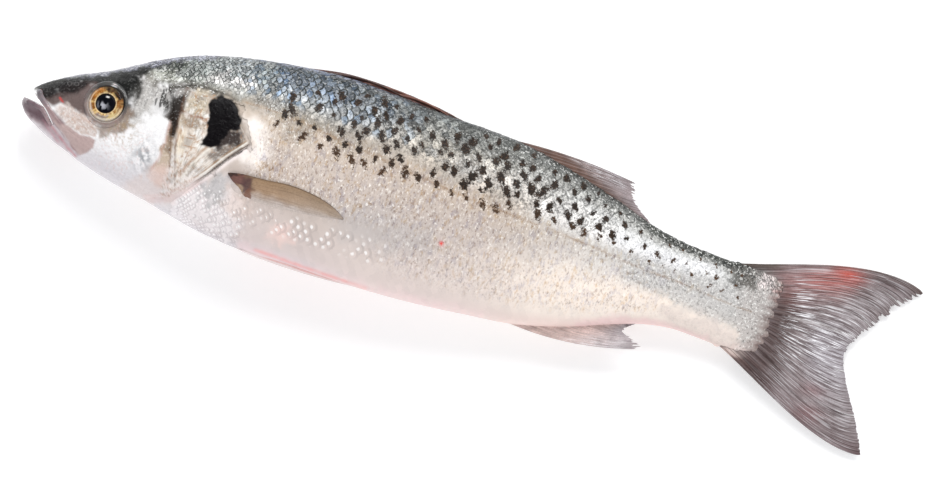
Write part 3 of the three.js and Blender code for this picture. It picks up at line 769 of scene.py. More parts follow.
class Recipe:
    """A material's node tree, with short calls for what the materials share."""

    def __init__(self, name, **sockets):
        self.material = bpy.data.materials.new(name)
        self.material.use_nodes = True
        self.tree = self.material.node_tree
        self.place = self.node("ShaderNodeTexCoord").outputs["Object"]
        self.shade(**sockets)

    def shade(self, **sockets):
        """Gives the surface's sockets their values."""
        for socket, value in sockets.items():
            self.set(self.tree.nodes["Principled BSDF"], socket.replace("_", " "), value)

    def set(self, node, socket, value):
        """Links a socket, or writes a plain value into it."""
        if isinstance(value, bpy.types.NodeSocket):
            self.tree.links.new(value, node.inputs[socket])
        elif isinstance(value, tuple) and len(value) == 3 and node.inputs[socket].type == "RGBA":
            node.inputs[socket].default_value = (*screen(*value), 1)
        else:
            node.inputs[socket].default_value = value

    def node(self, kind, inputs=(), **settings):
        node = self.tree.nodes.new(kind)
        for name, value in settings.items():
            setattr(node, name, value)
        for socket, value in dict(inputs).items():
            self.set(node, socket, value)
        return node

    def value(self, name):
        """A value written on the mesh's points."""
        return self.node("ShaderNodeAttribute", attribute_name=name).outputs["Fac"]

    def tint(self):
        """The colour written on the mesh's points."""
        return self.node("ShaderNodeAttribute", attribute_name="tint").outputs["Color"]

    def maths(self, operation, *values, **settings):
        node = self.node("ShaderNodeMath", dict(enumerate(values)), operation=operation, **settings)
        return node.outputs[0]

    def times(self, product, *values):
        """The product of two or more values."""
        for value in values:
            product = self.maths("MULTIPLY", product, value)
        return product

    def step(self, value, low, high, start=0.0, end=1.0):
        """An eased step of a value from low to high."""
        inputs = {"Value": value, "From Min": low, "From Max": high, "To Min": start, "To Max": end}
        return self.node("ShaderNodeMapRange", inputs, interpolation_type="SMOOTHSTEP").outputs[0]

    def blend(self, share, a, b, how="MIX"):
        """Colour a where share is 0, b where it is 1."""
        return self.node("ShaderNodeMix", {0: share, 6: a, 7: b}, data_type="RGBA", blend_type=how).outputs[2]

    def darken(self, share, a, b):
        """Colour a, multiplied by b as far as share says."""
        return self.blend(share, a, b, "MULTIPLY")

    def texture(self, place, scale, detail, roughness):
        inputs = {"Vector": place, "Scale": scale, "Detail": detail, "Roughness": roughness}
        return self.node("ShaderNodeTexNoise", inputs).outputs["Fac"]

    def noise(self, size, detail=3.0, stretch=None, roughness=0.55):
        """Noise with features about size millimetres across."""
        place = self.place
        if stretch:
            place = self.node("ShaderNodeMapping", {"Vector": place, "Scale": stretch}).outputs[0]
        return self.texture(place, 1 / (size * MM), detail, roughness)

    def streaks(self, across, along, detail=3.0):
        """Noise drawn out along a fin's rays, from how far a point is across the fan and out along it."""
        fan, out = self.times(self.value("fan"), across), self.times(self.value("out"), along)
        place = self.node("ShaderNodeCombineXYZ", {"X": fan, "Y": out}).outputs[0]
        return self.texture(place, 1.0, detail, 0.6)

    def mottled(self, grain, shade):
        """The tint, darkened by a shade where the grain is low."""
        return self.darken(1.0, self.tint(), self.blend(grain, shade, WHITE))

    def flecked(self, colour):
        """Adds the skin's dark specks, and bright specks that are painted glints on the wet skin."""
        fleck = self.value("fleck")
        dark = self.step(self.noise(1.1, 4.0, roughness=0.6), 0.52, 0.6)
        colour = self.blend(self.times(dark, fleck, 0.85), colour, (40, 37, 28))
        # The bright specks: painted glints.
        light = self.step(self.noise(0.9, roughness=0.6), 0.55, 0.64)
        return self.blend(self.times(light, fleck), colour, (246, 246, 242))

    def spotted(self, colour):
        """The colour with the spots over it, broken up and brown where faint, and how clear of them it is."""
        faint = self.maths("SUBTRACT", 1.0, self.value("ink"))
        wander = self.times(self.noise(1.2, 5.0, roughness=0.75), self.maths("MULTIPLY_ADD", faint, 2.2, 3.2))
        depth = self.maths("MULTIPLY_ADD", faint, -1.45, self.maths("ADD", wander, self.value("spot")))
        cover = self.step(depth, 1.44, 1.82)
        speckle = self.step(self.noise(0.7, roughness=0.7), 0.5, 0.62)
        brown = self.maths("MULTIPLY_ADD", speckle, 0.55, self.times(faint, 0.9), use_clamp=True)
        ink = self.blend(brown, (38, 32, 28), (88, 66, 50))
        return self.blend(cover, colour, ink), self.maths("SUBTRACT", 1.0, cover)

    def relief(self, *heights):
        """Bumps: pairs of a height value and how many millimetres it stands for."""
        below = {}
        for height, depth in heights:
            sockets = {"Height": height, "Distance": depth * MM, "Strength": 1.0, **below}
            bump = self.node("ShaderNodeBump", sockets)
            below = {"Normal": bump.outputs[0]}
        self.shade(**below)

    def finish(self, colour, roughness):
        self.shade(Base_Color=colour, Roughness=roughness)
        return self.material


def skin_material():
    """Wet skin under and between the scales, and over the head's bones."""
    recipe = Recipe("wet_skin", Coat_Roughness=0.06, Specular_IOR_Level=0.1)
    colour, clear = recipe.spotted(recipe.flecked(recipe.mottled(recipe.noise(1.1, 4.0), (218, 216, 214))))
    pale = recipe.step(recipe.tint(), 0.02, 0.3, 0.1, 1.0)
    recipe.shade(Coat_Weight=recipe.times(clear, pale, recipe.step(recipe.noise(1.6), 0.4, 0.6, 0.15, 0.6)))
    grains = {2.6: 0.4, 0.9: 0.14, 0.45: 0.05}
    recipe.relief(*[(recipe.noise(grain, 2.0), depth) for grain, depth in grains.items()])
    return recipe.finish(colour, recipe.step(recipe.noise(0.9), 0.3, 0.7, 0.24, 0.46))


def scale_material():
    """Silver scales: tiles of many tones with dark gaps on the back, fine upright streaks on the flank."""
    recipe = Recipe("silver_scales", Coat_Roughness=0.12, Specular_IOR_Level=0.1)
    edge, net, fibre, glint = (recipe.value(name) for name in ("edge", "net", "fibre", "glint"))
    colour = recipe.darken(1.0, recipe.tint(), recipe.value("tone"))
    colour = recipe.darken(recipe.value("blue"), colour, (176, 204, 236))
    pepper = recipe.step(recipe.noise(1.1, 5.0, roughness=0.75), 0.38, 0.62, 0.34, 1.66)
    colour = recipe.darken(recipe.value("pepper"), colour, pepper)
    for size, upright, low, high, shade in FLANK_FLECKS:
        speck = recipe.noise(size, 4.0, stretch=(1.0, upright, upright), roughness=0.7)
        colour = recipe.darken(recipe.times(fibre, recipe.step(speck, low, high)), colour, shade)
    pale = recipe.step(recipe.noise(0.9, 4.0, stretch=(1.0, 0.6, 0.6), roughness=0.7), 0.54, 0.66)
    middle = recipe.step(recipe.value("reach"), 0.38, 0.16)
    gap = recipe.step(recipe.maths("MULTIPLY_ADD", net, 0.2, edge), 0.72, 0.9)
    colour = recipe.blend(recipe.times(fibre, pale, 0.6), colour, (250, 246, 240))
    # Where the scales gleam: a painted highlight in each middle, and painted shade towards the rim.
    colour = recipe.blend(recipe.times(glint, middle, 0.85), colour, (255, 253, 252))
    colour = recipe.darken(recipe.times(glint, recipe.step(edge, 0.3, 0.5), 0.35), colour, (182, 178, 180))
    colour = recipe.blend(recipe.times(gap, recipe.value("gaps"), 0.9), colour, (30, 34, 32))
    colour, clear = recipe.spotted(recipe.flecked(colour))
    recipe.shade(Coat_Weight=recipe.times(clear, recipe.step(net, 0, 1, 0.1, 0.12)),
                 Metallic=recipe.times(clear, recipe.step(net, 0, 1, 0.0, 0.12)))
    recipe.relief((recipe.noise(0.6), 0.05))
    return recipe.finish(colour, recipe.step(recipe.noise(0.8), 0.3, 0.7, 0.3, 0.5))


def fin_material(name, glow=(214, 208, 210), gloss=0.3, gleam=0.3, fine=90, dark=0.6):
    """A thin wet membrane over rays, with dark hairlines and white ones painted as gleams. fine: how many
    cross the fan.
    """
    recipe = Recipe(name, Coat_Weight=gloss, Coat_Roughness=0.16, Specular_IOR_Level=0.2)
    grain = recipe.noise(0.7, 4.0)
    lines = recipe.step(recipe.streaks(fine, 3.0, 2.0), 0.55, 0.42)
    colour = recipe.darken(recipe.times(lines, dark), recipe.mottled(grain, (190, 186, 184)), (140, 126, 124))
    # Painted highlights: white hairlines where the wet membrane gleams.
    wet = recipe.times(recipe.step(recipe.streaks(1.1 * fine, 3.6, 2.0), 0.55, 0.61), recipe.value("wet"))
    colour = recipe.blend(wet, colour, (248, 247, 250))
    # Painted gleam along the rays' ridges.
    colour = recipe.blend(recipe.times(recipe.step(recipe.value("ridge"), 0.55, 1.0), gleam), colour, glow)
    recipe.relief((recipe.streaks(fine, 6.0), 0.06))
    return recipe.finish(colour, recipe.step(grain, 0.3, 0.7, 0.3, 0.55))


def eye_material():
    """The eye under its clear wet cornea."""
    recipe = Recipe("eye_gold", Coat_Weight=0.03, Coat_Roughness=0.05, Specular_IOR_Level=0.05)
    recipe.shade(Metallic=recipe.value("metal"))
    return recipe.finish(recipe.mottled(recipe.noise(0.35), (170, 160, 150)), 0.4)


def flesh_material(name, gloss):
    """Smooth wet flesh of lips, jaws and the mouth."""
    recipe = Recipe(name, Coat_Weight=gloss, Coat_Roughness=0.1)
    recipe.shade(Subsurface_Weight=0.12, Subsurface_Scale=0.002)
    mottle = recipe.noise(0.9, 4.0)
    recipe.relief((recipe.noise(1.6, 2.0), 0.14), (recipe.noise(0.4, 2.0), 0.03))
    return recipe.finish(recipe.mottled(mottle, (196, 188, 190)), recipe.step(mottle, 0.3, 0.7, 0.3, 0.46))


SKIN = skin_material()
SCALES = scale_material()
FLESH = flesh_material("wet_flesh", gloss=0.5)
SOCKET = flesh_material("socket_skin", gloss=0.08)
EYE_GOLD = eye_material()

# ---------------------------------------------------------------- the skin under the scales

SKIN_SIDES = 216
HEAD_RINGS = 190
TRUNK_RINGS = 120
HEAD_END = 98
JAW_LINE = [(20, -13), (44, -17), (60, -22)]


def skin_relief(x, y):
    """How far the skin stands off the plain form: sockets, grooves, slits and soft unevenness."""
    eye = np.hypot(x - EYE_X, y - EYE_Y)
    lift = -2.6 * (1 - smooth(6.2, 8.8, eye)) + 0.3 * bell((eye - 10.4) / 1.3)
    grooves = (STREAKS["cheek groove"][0], 0.8, 1.4), (GILL_RIM[1:], 0.35, 0.9), (JAW_LINE, 0.25, 1)
    for line, depth, width in grooves:
        lift -= depth * bell(line_distance(x, y, line) / width)
    lift += 0.7 * bell((x - 91) / 4.5, (y + 8) / 4.5) - 0.3 * smooth(66, 90, x) + 0.1 * noise(x, y, 4, 8)
    rough = (1 - smooth(60, 95, x)) * smooth(0.55, 0.8, height_share(x, y))
    return lift + 0.09 * rough * noise(x, y, 1.2, 9)


def skin_shape():
    """The whole skin as one closed loft, fine over the head."""
    x = np.concatenate([HEAD_END * np.linspace(0, 1, HEAD_RINGS) ** 1.15,
                        np.linspace(HEAD_END, BODY_END, TRUNK_RINGS + 1)[1:]])[:, None]
    turn = (np.arange(SKIN_SIDES) * 2 * math.pi / SKIN_SIDES)[None, :]
    up, out = np.sin(turn), np.cos(turn)
    middle, reach, fullness = section(x, up)
    rounded = lambda share: np.sign(share) * np.abs(share) ** (2 / fullness)
    y = middle + reach * rounded(up)
    z = MIDDLE_PLANE(x) + HALF_WIDTH(x) * rounded(out)
    points = np.stack([np.broadcast_to(x, y.shape), y, z], -1)
    normal = np.cross(np.gradient(points, axis=0), np.roll(points, -1, 1) - np.roll(points, 1, 1))
    normal /= np.linalg.norm(normal, axis=-1)[..., None]
    points = points + normal * skin_relief(points[..., 0], points[..., 1])[..., None]
    points[..., 2] = above_table(points[..., 2], 0)
    hubs = [[-0.3, 0, MIDDLE_PLANE(0)], [BODY_END + 0.5, 0.5, MIDDLE_PLANE(BODY_END)]]
    return facing_out(Shape(np.concatenate([points.reshape(-1, 3), hubs]), capped(len(x), SKIN_SIDES)))


MOUTH = [(-2, 1.8), (1, 1.6), (6, 1), (8.6, 0), (13.4, -5.6), (13.8, -5.3), (9.4, 0.9), (5.6, 2.4),
         (3.6, 4.2), (3.1, 5.4), (2.6, 9), (-2, 9)]
MOUTH_REACH = 14
MOUTH_COLOUR = (176, 128, 126)


def mouth_cutter():
    """The slot between the jaws, as a scratch object for the cut."""
    count = len(MOUTH)
    points = [(x, y, MIDDLE_PLANE(0) + end * MOUTH_REACH) for end in (-1, 1) for x, y in MOUTH]
    walls = [(k, (k + 1) % count, (k + 1) % count + count, k + count) for k in range(count)]
    lids = [tuple(range(count))[::-1], tuple(range(count, 2 * count))]
    mesh = bpy.data.meshes.new("mouth_cutter")
    mesh.from_pydata(to_world(points).tolist(), [], walls + lids)
    return add_object("mouth_cutter", mesh)


def make_skin():
    """The skin, with the mouth cut through it, and its colour worked out where each point came to lie."""
    skin = add_piece("skin", skin_shape(), SKIN, ["body"])
    cutter = mouth_cutter()
    cut = skin.modifiers.new("mouth", "BOOLEAN")
    cut.operation = "DIFFERENCE"
    cut.object = cutter
    cut.solver = "EXACT"
    mesh = bpy.data.meshes.new_from_object(skin.evaluated_get(bpy.context.evaluated_depsgraph_get()))
    skin.modifiers.clear()
    skin.data = mesh
    bpy.data.objects.remove(cutter)
    points = np.empty(3 * len(mesh.vertices))
    mesh.vertices.foreach_get("co", points)
    x, y, z = (points.reshape(-1, 3) / MM - SHIFT).T
    values = looks(x, y)
    within = (x < 14) & (np.abs(z - MIDDLE_PLANE(x)) < flank(x, y) - 0.5)
    within &= depth_inside(x, y, MOUTH) > -0.05
    values["tint"][within] = screen(*MOUTH_COLOUR)
    write_values(mesh, values)


# ---------------------------------------------------------------- scales

SCALE_STEP = profile((40, 1.6), (60, 1.6), (80, 1.8), (92, 2.2), (110, 3.1), (120, 3.3), (250, 3.3),
                     (290, 2.2), (310, 1.15))
SCALE_ROW = profile((40, 1.2), (60, 1.3), (80, 1.5), (92, 1.9), (110, 2.6), (120, 2.8), (200, 2.8),
                    (250, 2.4), (290, 1.5), (310, 0.85))
# Where the scales begin: the height, and the x they begin at there.
SCALES_FRONT = [
    (-40, 72), (-26, 68), (-20.4, 67), (-14.5, 73), (-7, 79.5), (1, 85.5), (8.2, 92), (14.5, 87.5),
    (22.4, 83), (24.6, 62), (25.6, 52), (27, 43), (30, 42), (40, 46)]
SCALES_FROM = 42.0
SCALE_ROWS = 40
SCALE_OUTLINE = 12
SCALE_RINGS = (1, 0.55)
TAIL_ROOT_FROM = 289
TAIL_ROOT_OUTLINE = [
    (288, 16.6), (296, 16.2), (303, 15.6), (308.6, 14), (308.6, -10), (303, -13.2), (297, -14.4),
    (292, -14.2), (288, -14.8)]
TAIL_ROOT_STEP, TAIL_ROOT_ROW = 1.1, 0.8
# Scales lie flattest where their gaps are pale, and stand up most where their gaps are dark.
SCALE_LIFT = 0.1
SCALE_RISE = 0.16
SCALE_DOME = 0.13
SCALE_DEPTH = 0.25
SCALE_TILT = (0.05, 0.1)
FLAT_SWELL = 0.12


def scale_seats(side):
    """(x, s) of every scale on one flank, in rows along the lateral line, each second row half a step on."""
    columns = [SCALES_FROM]
    while columns[-1] < TAIL_ROOT_FROM:
        columns.append(columns[-1] + float(SCALE_STEP(columns[-1])))
    columns = np.array(columns)
    seats = []
    for k in range(-SCALE_ROWS, SCALE_ROWS + 1):
        x = columns + (k % 2) * SCALE_STEP(columns) / 2
        seats.append(np.stack([x, k * SCALE_ROW(x)], 1))
    seats = np.concatenate(seats)
    seats += np.random.default_rng(70 + side).normal(0, 0.14, seats.shape)
    x, s = seats.T
    low, high = WRAP.ends(x)
    y = WRAP.place(x, s)[:, 0]
    heights, starts = zip(*SCALES_FRONT)
    kept = (s > low + 0.4) & (s < high - 0.3) & (x > np.interp(y, heights, starts) + 1) & (x < TAIL_ROOT_FROM)
    if side < 0:
        kept &= MIDDLE_PLANE(x) - flank(x, y) > -3
    return seats[kept]


def tail_root_seats():
    """(x, y) of the small scales over the end of the trunk, as far as the scales go."""
    x, y = np.meshgrid(np.arange(287, 311, TAIL_ROOT_STEP), np.arange(-20, 20, TAIL_ROOT_ROW))
    x = x + TAIL_ROOT_STEP / 2 * (np.arange(len(y))[:, None] % 2)
    seats = np.stack([x.ravel(), y.ravel()], 1) + np.random.default_rng(75).normal(0, 0.15, (x.size, 2))
    return seats[(depth_inside(*seats.T, TAIL_ROOT_OUTLINE) > 0) & (past_the_scales(*seats.T) < 0.72)]


def tail_root_point(x, y, lift, side):
    """A point over the flat end of the trunk, or over the fin where the trunk has ended."""
    on_trunk = (x < BODY_END) & (y < BACK(x)) & (y > BELLY(x))
    out = np.maximum(np.where(on_trunk, flank(x, y), 0), mix(0.7, 0.5, smooth(296, 308, x))) + lift
    return np.stack([x, y, MIDDLE_PLANE(x) + side * out], -1)


def scale_height(x, y):
    """The height's share, with the trunk's last section carried on over the tail's roots."""
    return height_share(np.minimum(x, 300), y)


def netting(x, y):
    """How dark the gaps between the scales are: deep on the back, none on flank and belly."""
    height = scale_height(x, y)
    low = np.interp(x, [105, 150, 200], [0, 0.1, 0])
    net = np.maximum(smooth(low, low + 0.4, height), 0.35 * smooth(270, 296, x) * smooth(-0.9, -0.2, height))
    return net * (1 - 0.6 * smooth(225, 245, x) * smooth(0.85, 0.7, height))


def upright_streaks(x, y):
    """How streaked the flank is: from the spots down to the belly in front, in a narrow band behind."""
    height = scale_height(x, y)
    lowest = np.interp(x, [100, 180, 215], [-16, -10, -3])
    front = band(x, 88, 98, 268, 290) * smooth(lowest, lowest + 9, y) * (1 - smooth(0.02, 0.3, height))
    return np.maximum(front, 0.85 * band(x, 140, 165, 250, 275) * band(height, -0.9, -0.7, 0, 0.2))


def gleam(x, y):
    """How strongly the scales' middles carry a painted gleam: in rows on the belly, and below the gill cover.
    """
    rows = band(x, 94, 104, 148, 158) * band(y, -24, -21.5, -15.5, -13)
    below_cover = band(x, 58, 64, 94, 100) * band(y, -34, -30, -14, -10)
    behind = band(x, 138, 150, 245, 257) * band(y, -24, -20, -6, -2)
    return np.maximum(0.8 * rows, below_cover) + 0.1 * behind * (1 - rows)


def scale_values(x, y, tone, hue, luck):
    """What the scales' points carry. Tone, hue and luck are drawn for each scale."""
    net = netting(x, y)
    upper = smooth(0.4, 0.7, scale_height(x, y))
    level = np.interp(tone, [0, 0.25, 0.5, 0.8, 1], [0.44, 0.72, 1, 1.34, 1.95])
    level = mix(level, 1, 0.66 * smooth(158, 205, x))
    blue = 0.85 * smooth(0.45, 0.95, hue) * smooth(0.3, 0.8, net) * band(x, 70, 92, 125, 190)
    gaps = net * np.maximum(mix(1, 0.45, smooth(128, 158, x)), 0.62 * smooth(185, 215, x) * upper)
    pepper = mix(0.7, mix(0.6, 1, smooth(0.3, 0.8, net)), smooth(118, 150, x)) * smooth(0, 0.3, net)
    return dict(looks(x, y), net=net, blue=blue, gaps=gaps, pepper=pepper, fibre=upright_streaks(x, y),
                tone=mix(1 + 0.07 * (tone - 0.5), level, net), glint=gleam(x, y) * smooth(0.2, 0.5, luck))


def scales_shape(seats, place, side, seed):
    """Scales as one joined mesh of small domed plates that overlap like tiles, and which points are rims."""
    count = len(seats)
    draw = np.random.default_rng(seed)
    turn = np.arange(SCALE_OUTLINE) * 2 * math.pi / SCALE_OUTLINE
    ring = np.stack([np.cos(turn), np.sin(turn)], 1)
    plan = np.concatenate([ring * share for share in SCALE_RINGS] + [np.zeros((2, 2))])
    back, up = plan.T
    reach = np.hypot(back, up)
    step, row = SCALE_STEP(seats[:, :1]), SCALE_ROW(seats[:, :1])
    x = seats[:, :1] + step * 0.8 * back
    s = seats[:, 1:] + row * 1.08 * (1 - 0.1 * back) * up
    middles = place(*seats.T, 0.0, 1)[:, :2].T
    net = netting(*middles)
    tilt = draw.normal(0, 1, (count, 2)) * mix(*SCALE_TILT, net)[:, None]
    rise = SCALE_RISE * back + tilt[:, :1] * back + tilt[:, 1:] * up + SCALE_DOME * (1 - reach**2)
    swell = mix(FLAT_SWELL, 1, np.maximum(net, 0.3 * gleam(*middles)))[:, None]
    swell = swell * mix(1, 0.35, smooth(284, 296, x))
    lift = SCALE_LIFT + rise * swell * step / 3
    lift[:, -1] -= SCALE_DEPTH * step[:, 0] / 3
    points = place(x, s, lift, side)
    points[..., 2] = above_table(points[..., 2], lift)
    each = len(plan)
    around = np.arange(SCALE_OUTLINE)
    after = np.roll(around, -1)
    inner = around + SCALE_OUTLINE
    collar = np.stack([around, after, after + SCALE_OUTLINE, inner], 1)
    crown = np.stack([inner, after + SCALE_OUTLINE, np.full(SCALE_OUTLINE, each - 2)], 1)
    under = np.stack([after, around, np.full(SCALE_OUTLINE, each - 1)], 1)
    starts = (np.arange(count) * each)[:, None, None]
    faces = [(block[None] + starts).reshape(-1, block.shape[1]) for block in (collar, crown, under)]
    drawn = (np.repeat(draw.uniform(0, 1, count), each) for _ in range(3))
    values = scale_values(points[..., 0].ravel(), points[..., 1].ravel(), *drawn)
    values.update(edge=np.tile(reach**2 * smooth(-0.6, 0.4, back), count), reach=np.tile(reach, count))
    rims = np.tile(np.arange(each) < SCALE_OUTLINE, count)
    return facing_out(Shape(points.reshape(-1, 3), faces, **values)), rims


def make_scales():
    for name, side in SIDES.items():
        trunk, trunk_rims = scales_shape(scale_seats(side), WRAP.point, side, 90 + side)
        root, root_rims = scales_shape(tail_root_seats(), tail_root_point, side, 95 + side)
        rims = np.concatenate([trunk_rims, root_rims])
        add_piece(f"scales_{name}", Shape.joined([trunk, root]), SCALES, sharp=rims)


# ---------------------------------------------------------------- bony plates of the head

# Each plate: the edge that is sunk in the skin, the free edge, cells along and across, lift, thickness.
PLATES = {
    "upper_jaw": (
        curve((5, 3.3), (10, 1.6), (15, -1.8), (20, -4.6), (26, -6.4), (31, -8.2)),
        curve((5, 2.9), (9.6, -0.4), (14, -5.2), (19, -10.2), (26, -13.8), (31.4, -11.6)),
        (60, 26), 0.8, 0.7),
    "cheek": (
        curve((50, 21.4), (45, 17), (43, 11), (42, 4), (41, -3), (40, -10), (40, -15), (43, -18.6)),
        curve((53, 21.6), (55.6, 16.5), (57.2, 10), (57.6, 4), (57, -3), (55.8, -9.8), (53.5, -15),
              (48, -19)),
        (120, 54), 0.9, 0.7),
    "gill_cover": (
        curve((66, 24.2), (63, 20), (61.3, 14), (61, 7), (61.6, 0), (63, -7), (64.5, -13), (63, -19),
              (56, -23)),
        curve(*GILL_RIM), (140, 90), 0.85, 0.6),
}
PLATE_SUNK = -0.5
PLATE_RIM = 0.3


def plate_shape(spot, side, cells, lift, thickness):
    """A bony plate over spot(u, v): sunk in the skin where v is 0, free where it is 1. Its ends lie down."""

    def place(u, v, face):
        x, y = spot(u, v)
        ends = np.minimum(1, 7 * np.minimum(u, 1 - u)) * mix(0.2, 0.75, smooth(-16, 2, y))
        height = mix(PLATE_SUNK, lift, smooth(0, 0.35, v) * ends) + 0.12 * noise(x, y, 3.5, 11)
        rim = PLATE_RIM * smooth(0.9, 1, v) * lift
        return on_flank(x, y, height - (rim if face > 0 else thickness), side)

    return slab(*cells, place, lambda u, v: looks(*spot(u, v)))


def make_plates():
    for hand, side in SIDES.items():
        for name, (sunk, free, *sizes) in PLATES.items():
            shape = plate_shape(between(sunk, free), side, *sizes)
            add_piece(f"{name}_{hand}", shape, SKIN)


# ---------------------------------------------------------------- lips and nostrils

# Each lip: (x, y, radius) from the corner of the mouth to the jaw's tip, and its colour there.
LIPS = {
    "upper_lip": (
        [(14.6, -5.4, 0.5), (12.8, -2.7, 0.9), (10.4, 0.3, 1.2), (8, 2.3, 1.3), (6.2, 4, 1.35),
         (5.6, 5, 1.3)],
        (98, 92, 98)),
    "lower_lip": (
        [(13.6, -6.3, 0.5), (11.4, -4.2, 0.8), (8.4, -1.2, 0.9), (5, -0.1, 0.9), (2.8, 0.3, 0.9),
         (2, 0.2, 0.85)],
        (106, 84, 92)),
}
LIP_RINGS, LIP_SIDES = 90, 14
# A nostril's rings: radius and lift. Inside the last collar it is painted dark, as shade in the pit.
NOSTRIL_RINGS = [(1.1, -0.2), (0.95, 0.12), (0.8, 0.18), (0.6, 0.06), (0.45, -0.5), (0.05, -0.6)]
NOSTRIL_SIDES = 20
NOSTRILS = [(15.8, 11.6), (18.4, 12.2)]


def lip_shape(stations, colour):
    """A lip that runs from one corner of the mouth round the jaw's tip to the other."""
    x, y, radius = np.array(stations).T
    middle, out = MIDDLE_PLANE(x), flank(x, y) - 0.55 * radius
    left, right = (np.stack([x, y, middle + side * out], 1) for side in (1, -1))
    knots = np.concatenate([left, [[x[-1] - 0.9, y[-1], middle[-1]]], right[::-1]])
    share = np.linspace(0, 1, LIP_RINGS)
    spread = np.interp(share, np.linspace(0, 1, len(knots)), [*radius, radius[-1], *radius[::-1]])
    shape = tube(curve(*knots)(share), spread, LIP_SIDES)
    px, py = shape.points[:, 0], shape.points[:, 1]
    tint = paint(colour, ((176, 152, 154), smooth(4, 14, px)))
    shape.values = {"tint": tint * (1 + 0.12 * noise(px, py, 1.5, 22))[:, None]}
    return shape


def nostril_shape(x, y, side):
    """A small raised ring round a pit painted dark as shade."""
    turn = np.linspace(0, 2 * math.pi, NOSTRIL_SIDES, endpoint=False)
    rings, tints = [], []
    for radius, lift in NOSTRIL_RINGS:
        rings.append(on_flank(x + radius * np.cos(turn), y + 0.85 * radius * np.sin(turn), lift, side))
        tints += [screen(*((20, 12, 12) if radius < 0.9 else (60, 50, 48)))] * NOSTRIL_SIDES
    hubs = [rings[0].mean(0) - [0, 0, 0.8 * side], rings[-1].mean(0)]
    tints += [tints[0], tints[-1]]
    faces = capped(len(rings), NOSTRIL_SIDES)
    return facing_out(Shape(np.concatenate([*rings, hubs]), faces, tint=np.array(tints)))


def make_mouth():
    for name, (stations, colour) in LIPS.items():
        add_piece(name, lip_shape(stations, colour), FLESH)
    shapes = [nostril_shape(x, y, side) for side in SIDES.values() for x, y in NOSTRILS]
    add_piece("nostrils", Shape.joined(shapes), FLESH)


# ---------------------------------------------------------------- eyes

EYE_SIDES = 96
EYE_RADIUS, DOME_RADIUS, PUPIL = 7.0, 7.9, 4.05
# The socket's ring, from the eye out over the skin and back under it: radius and height.
SOCKET_RINGS = [(7, -0.2), (7.1, 0.2), (7.25, 0.36), (7.5, 0.44), (7.8, 0.42), (8.1, 0.34), (8.5, 0.2),
                (8.9, 0), (9.4, -0.6), (9.4, -2), (7.2, -2)]
# Clouds in the iris: the angle from the snout round over the top, how far each spreads, where it
# begins out from the centre, its colour and its strength.
IRIS_CLOUDS = [
    (0.75, 0.6, 4.6, (206, 128, 44), 0.75), (1.5, 0.5, 4.4, (92, 70, 52), 0.8),
    (2.2, 0.74, 4.5, (14, 12, 18), 0.98), (3.2, 0.5, 4.2, (168, 108, 54), 0.7),
    (-2.2, 0.4, 4.4, (255, 236, 176), 0.75),
    (-2.75, 0.36, 5.4, (246, 222, 180), 0.6), (-1.57, 0.42, 4.7, (208, 206, 208), 0.9),
    (-0.5, 0.5, 5.8, (232, 216, 214), 0.75), (0.1, 0.4, 4.4, (146, 86, 34), 0.6)]


def eye_frame(side):
    """The eye's centre on the skin, and its axes: forward, up and out."""
    centre = on_flank(EYE_X, EYE_Y, 0.0, side)
    out = on_flank(EYE_X, EYE_Y, 1.0, side) - centre
    forward = np.array([-1.0, 0, 0])
    forward -= out * forward.dot(out)
    forward /= np.linalg.norm(forward)
    up = np.cross(out, forward) * side
    return centre, forward, up * np.sign(up[1]), out


def eye_tint(radius, turn):
    """Black pupil with a painted reflection and glint, pale ring, gold iris with dark clouds above and silver
    below, and a rim with painted shade away from the light.
    """
    pupil = PUPIL * (1 + 0.05 * np.cos(turn))
    x, y = radius * np.cos(turn), radius * np.sin(turn)
    fibre = noise(turn * 11, radius * 0.5, 1, 23) + 0.6 * noise(x, y, 1.1, 24)
    tint = paint((150, 96, 40), ((250, 216, 146), 0.95 * smooth(-0.5, 0.7, fibre)))
    wander = 0.3 * noise(x, y, 1.5, 26) + 0.25 * noise(x, y, 0.6, 36)
    for angle, spread, start, colour, strength in IRIS_CLOUDS:
        off = (turn + wander - angle + math.pi) % (2 * math.pi) - math.pi
        cloud = bell(off / spread, power=3) * smooth(start - 0.3, start + 0.7, radius + wander)
        tint = paint(tint, (colour, strength * cloud))
    # Painted shade and highlight: the rim darkens away from the light, and a pale arc lights the iris's edge
    # on the other side.
    away_from_light = np.sin(turn) - 0.6 * np.cos(turn)
    folds = smooth(-0.1, 0.5, noise(turn * 3, radius * 2.2, 1, 37))
    rim = paint((176, 166, 156), ((34, 31, 30), smooth(-0.9, 0.7, away_from_light)))
    # A painted reflection in the pupil, low and towards the snout, and a painted glint above its middle.
    pupil_reflection = smooth(-0.3, 0.3, noise(x, y * 0.8, 0.8, 25)) * bell((x - 1.1) / 1.7)
    pupil_reflection = pupil_reflection * bell((y + 1.2) / 1.4, power=4)
    glint = bell(x / 0.7, (y - 2.6) / 0.34, power=4)
    black = 1 - smooth(-0.12, 0.12, radius - pupil)
    tint = paint(
        tint,
        ((104, 66, 34), 0.55 * folds * bell((radius - 5.6) / 0.4)),
        ((250, 240, 216), 0.75 * smooth(0.9, -0.6, away_from_light) * bell((radius - 6.4) / 0.2)),
        ((250, 232, 192), 0.85 * bell((radius - pupil - 0.22) / 0.14)),
        (rim, smooth(6.7, 7, radius)),
        (paint((4, 5, 16), ((206, 210, 224), 0.85 * pupil_reflection), (WHITE, glint)), black))
    return tint, (1 - black) * 0.1


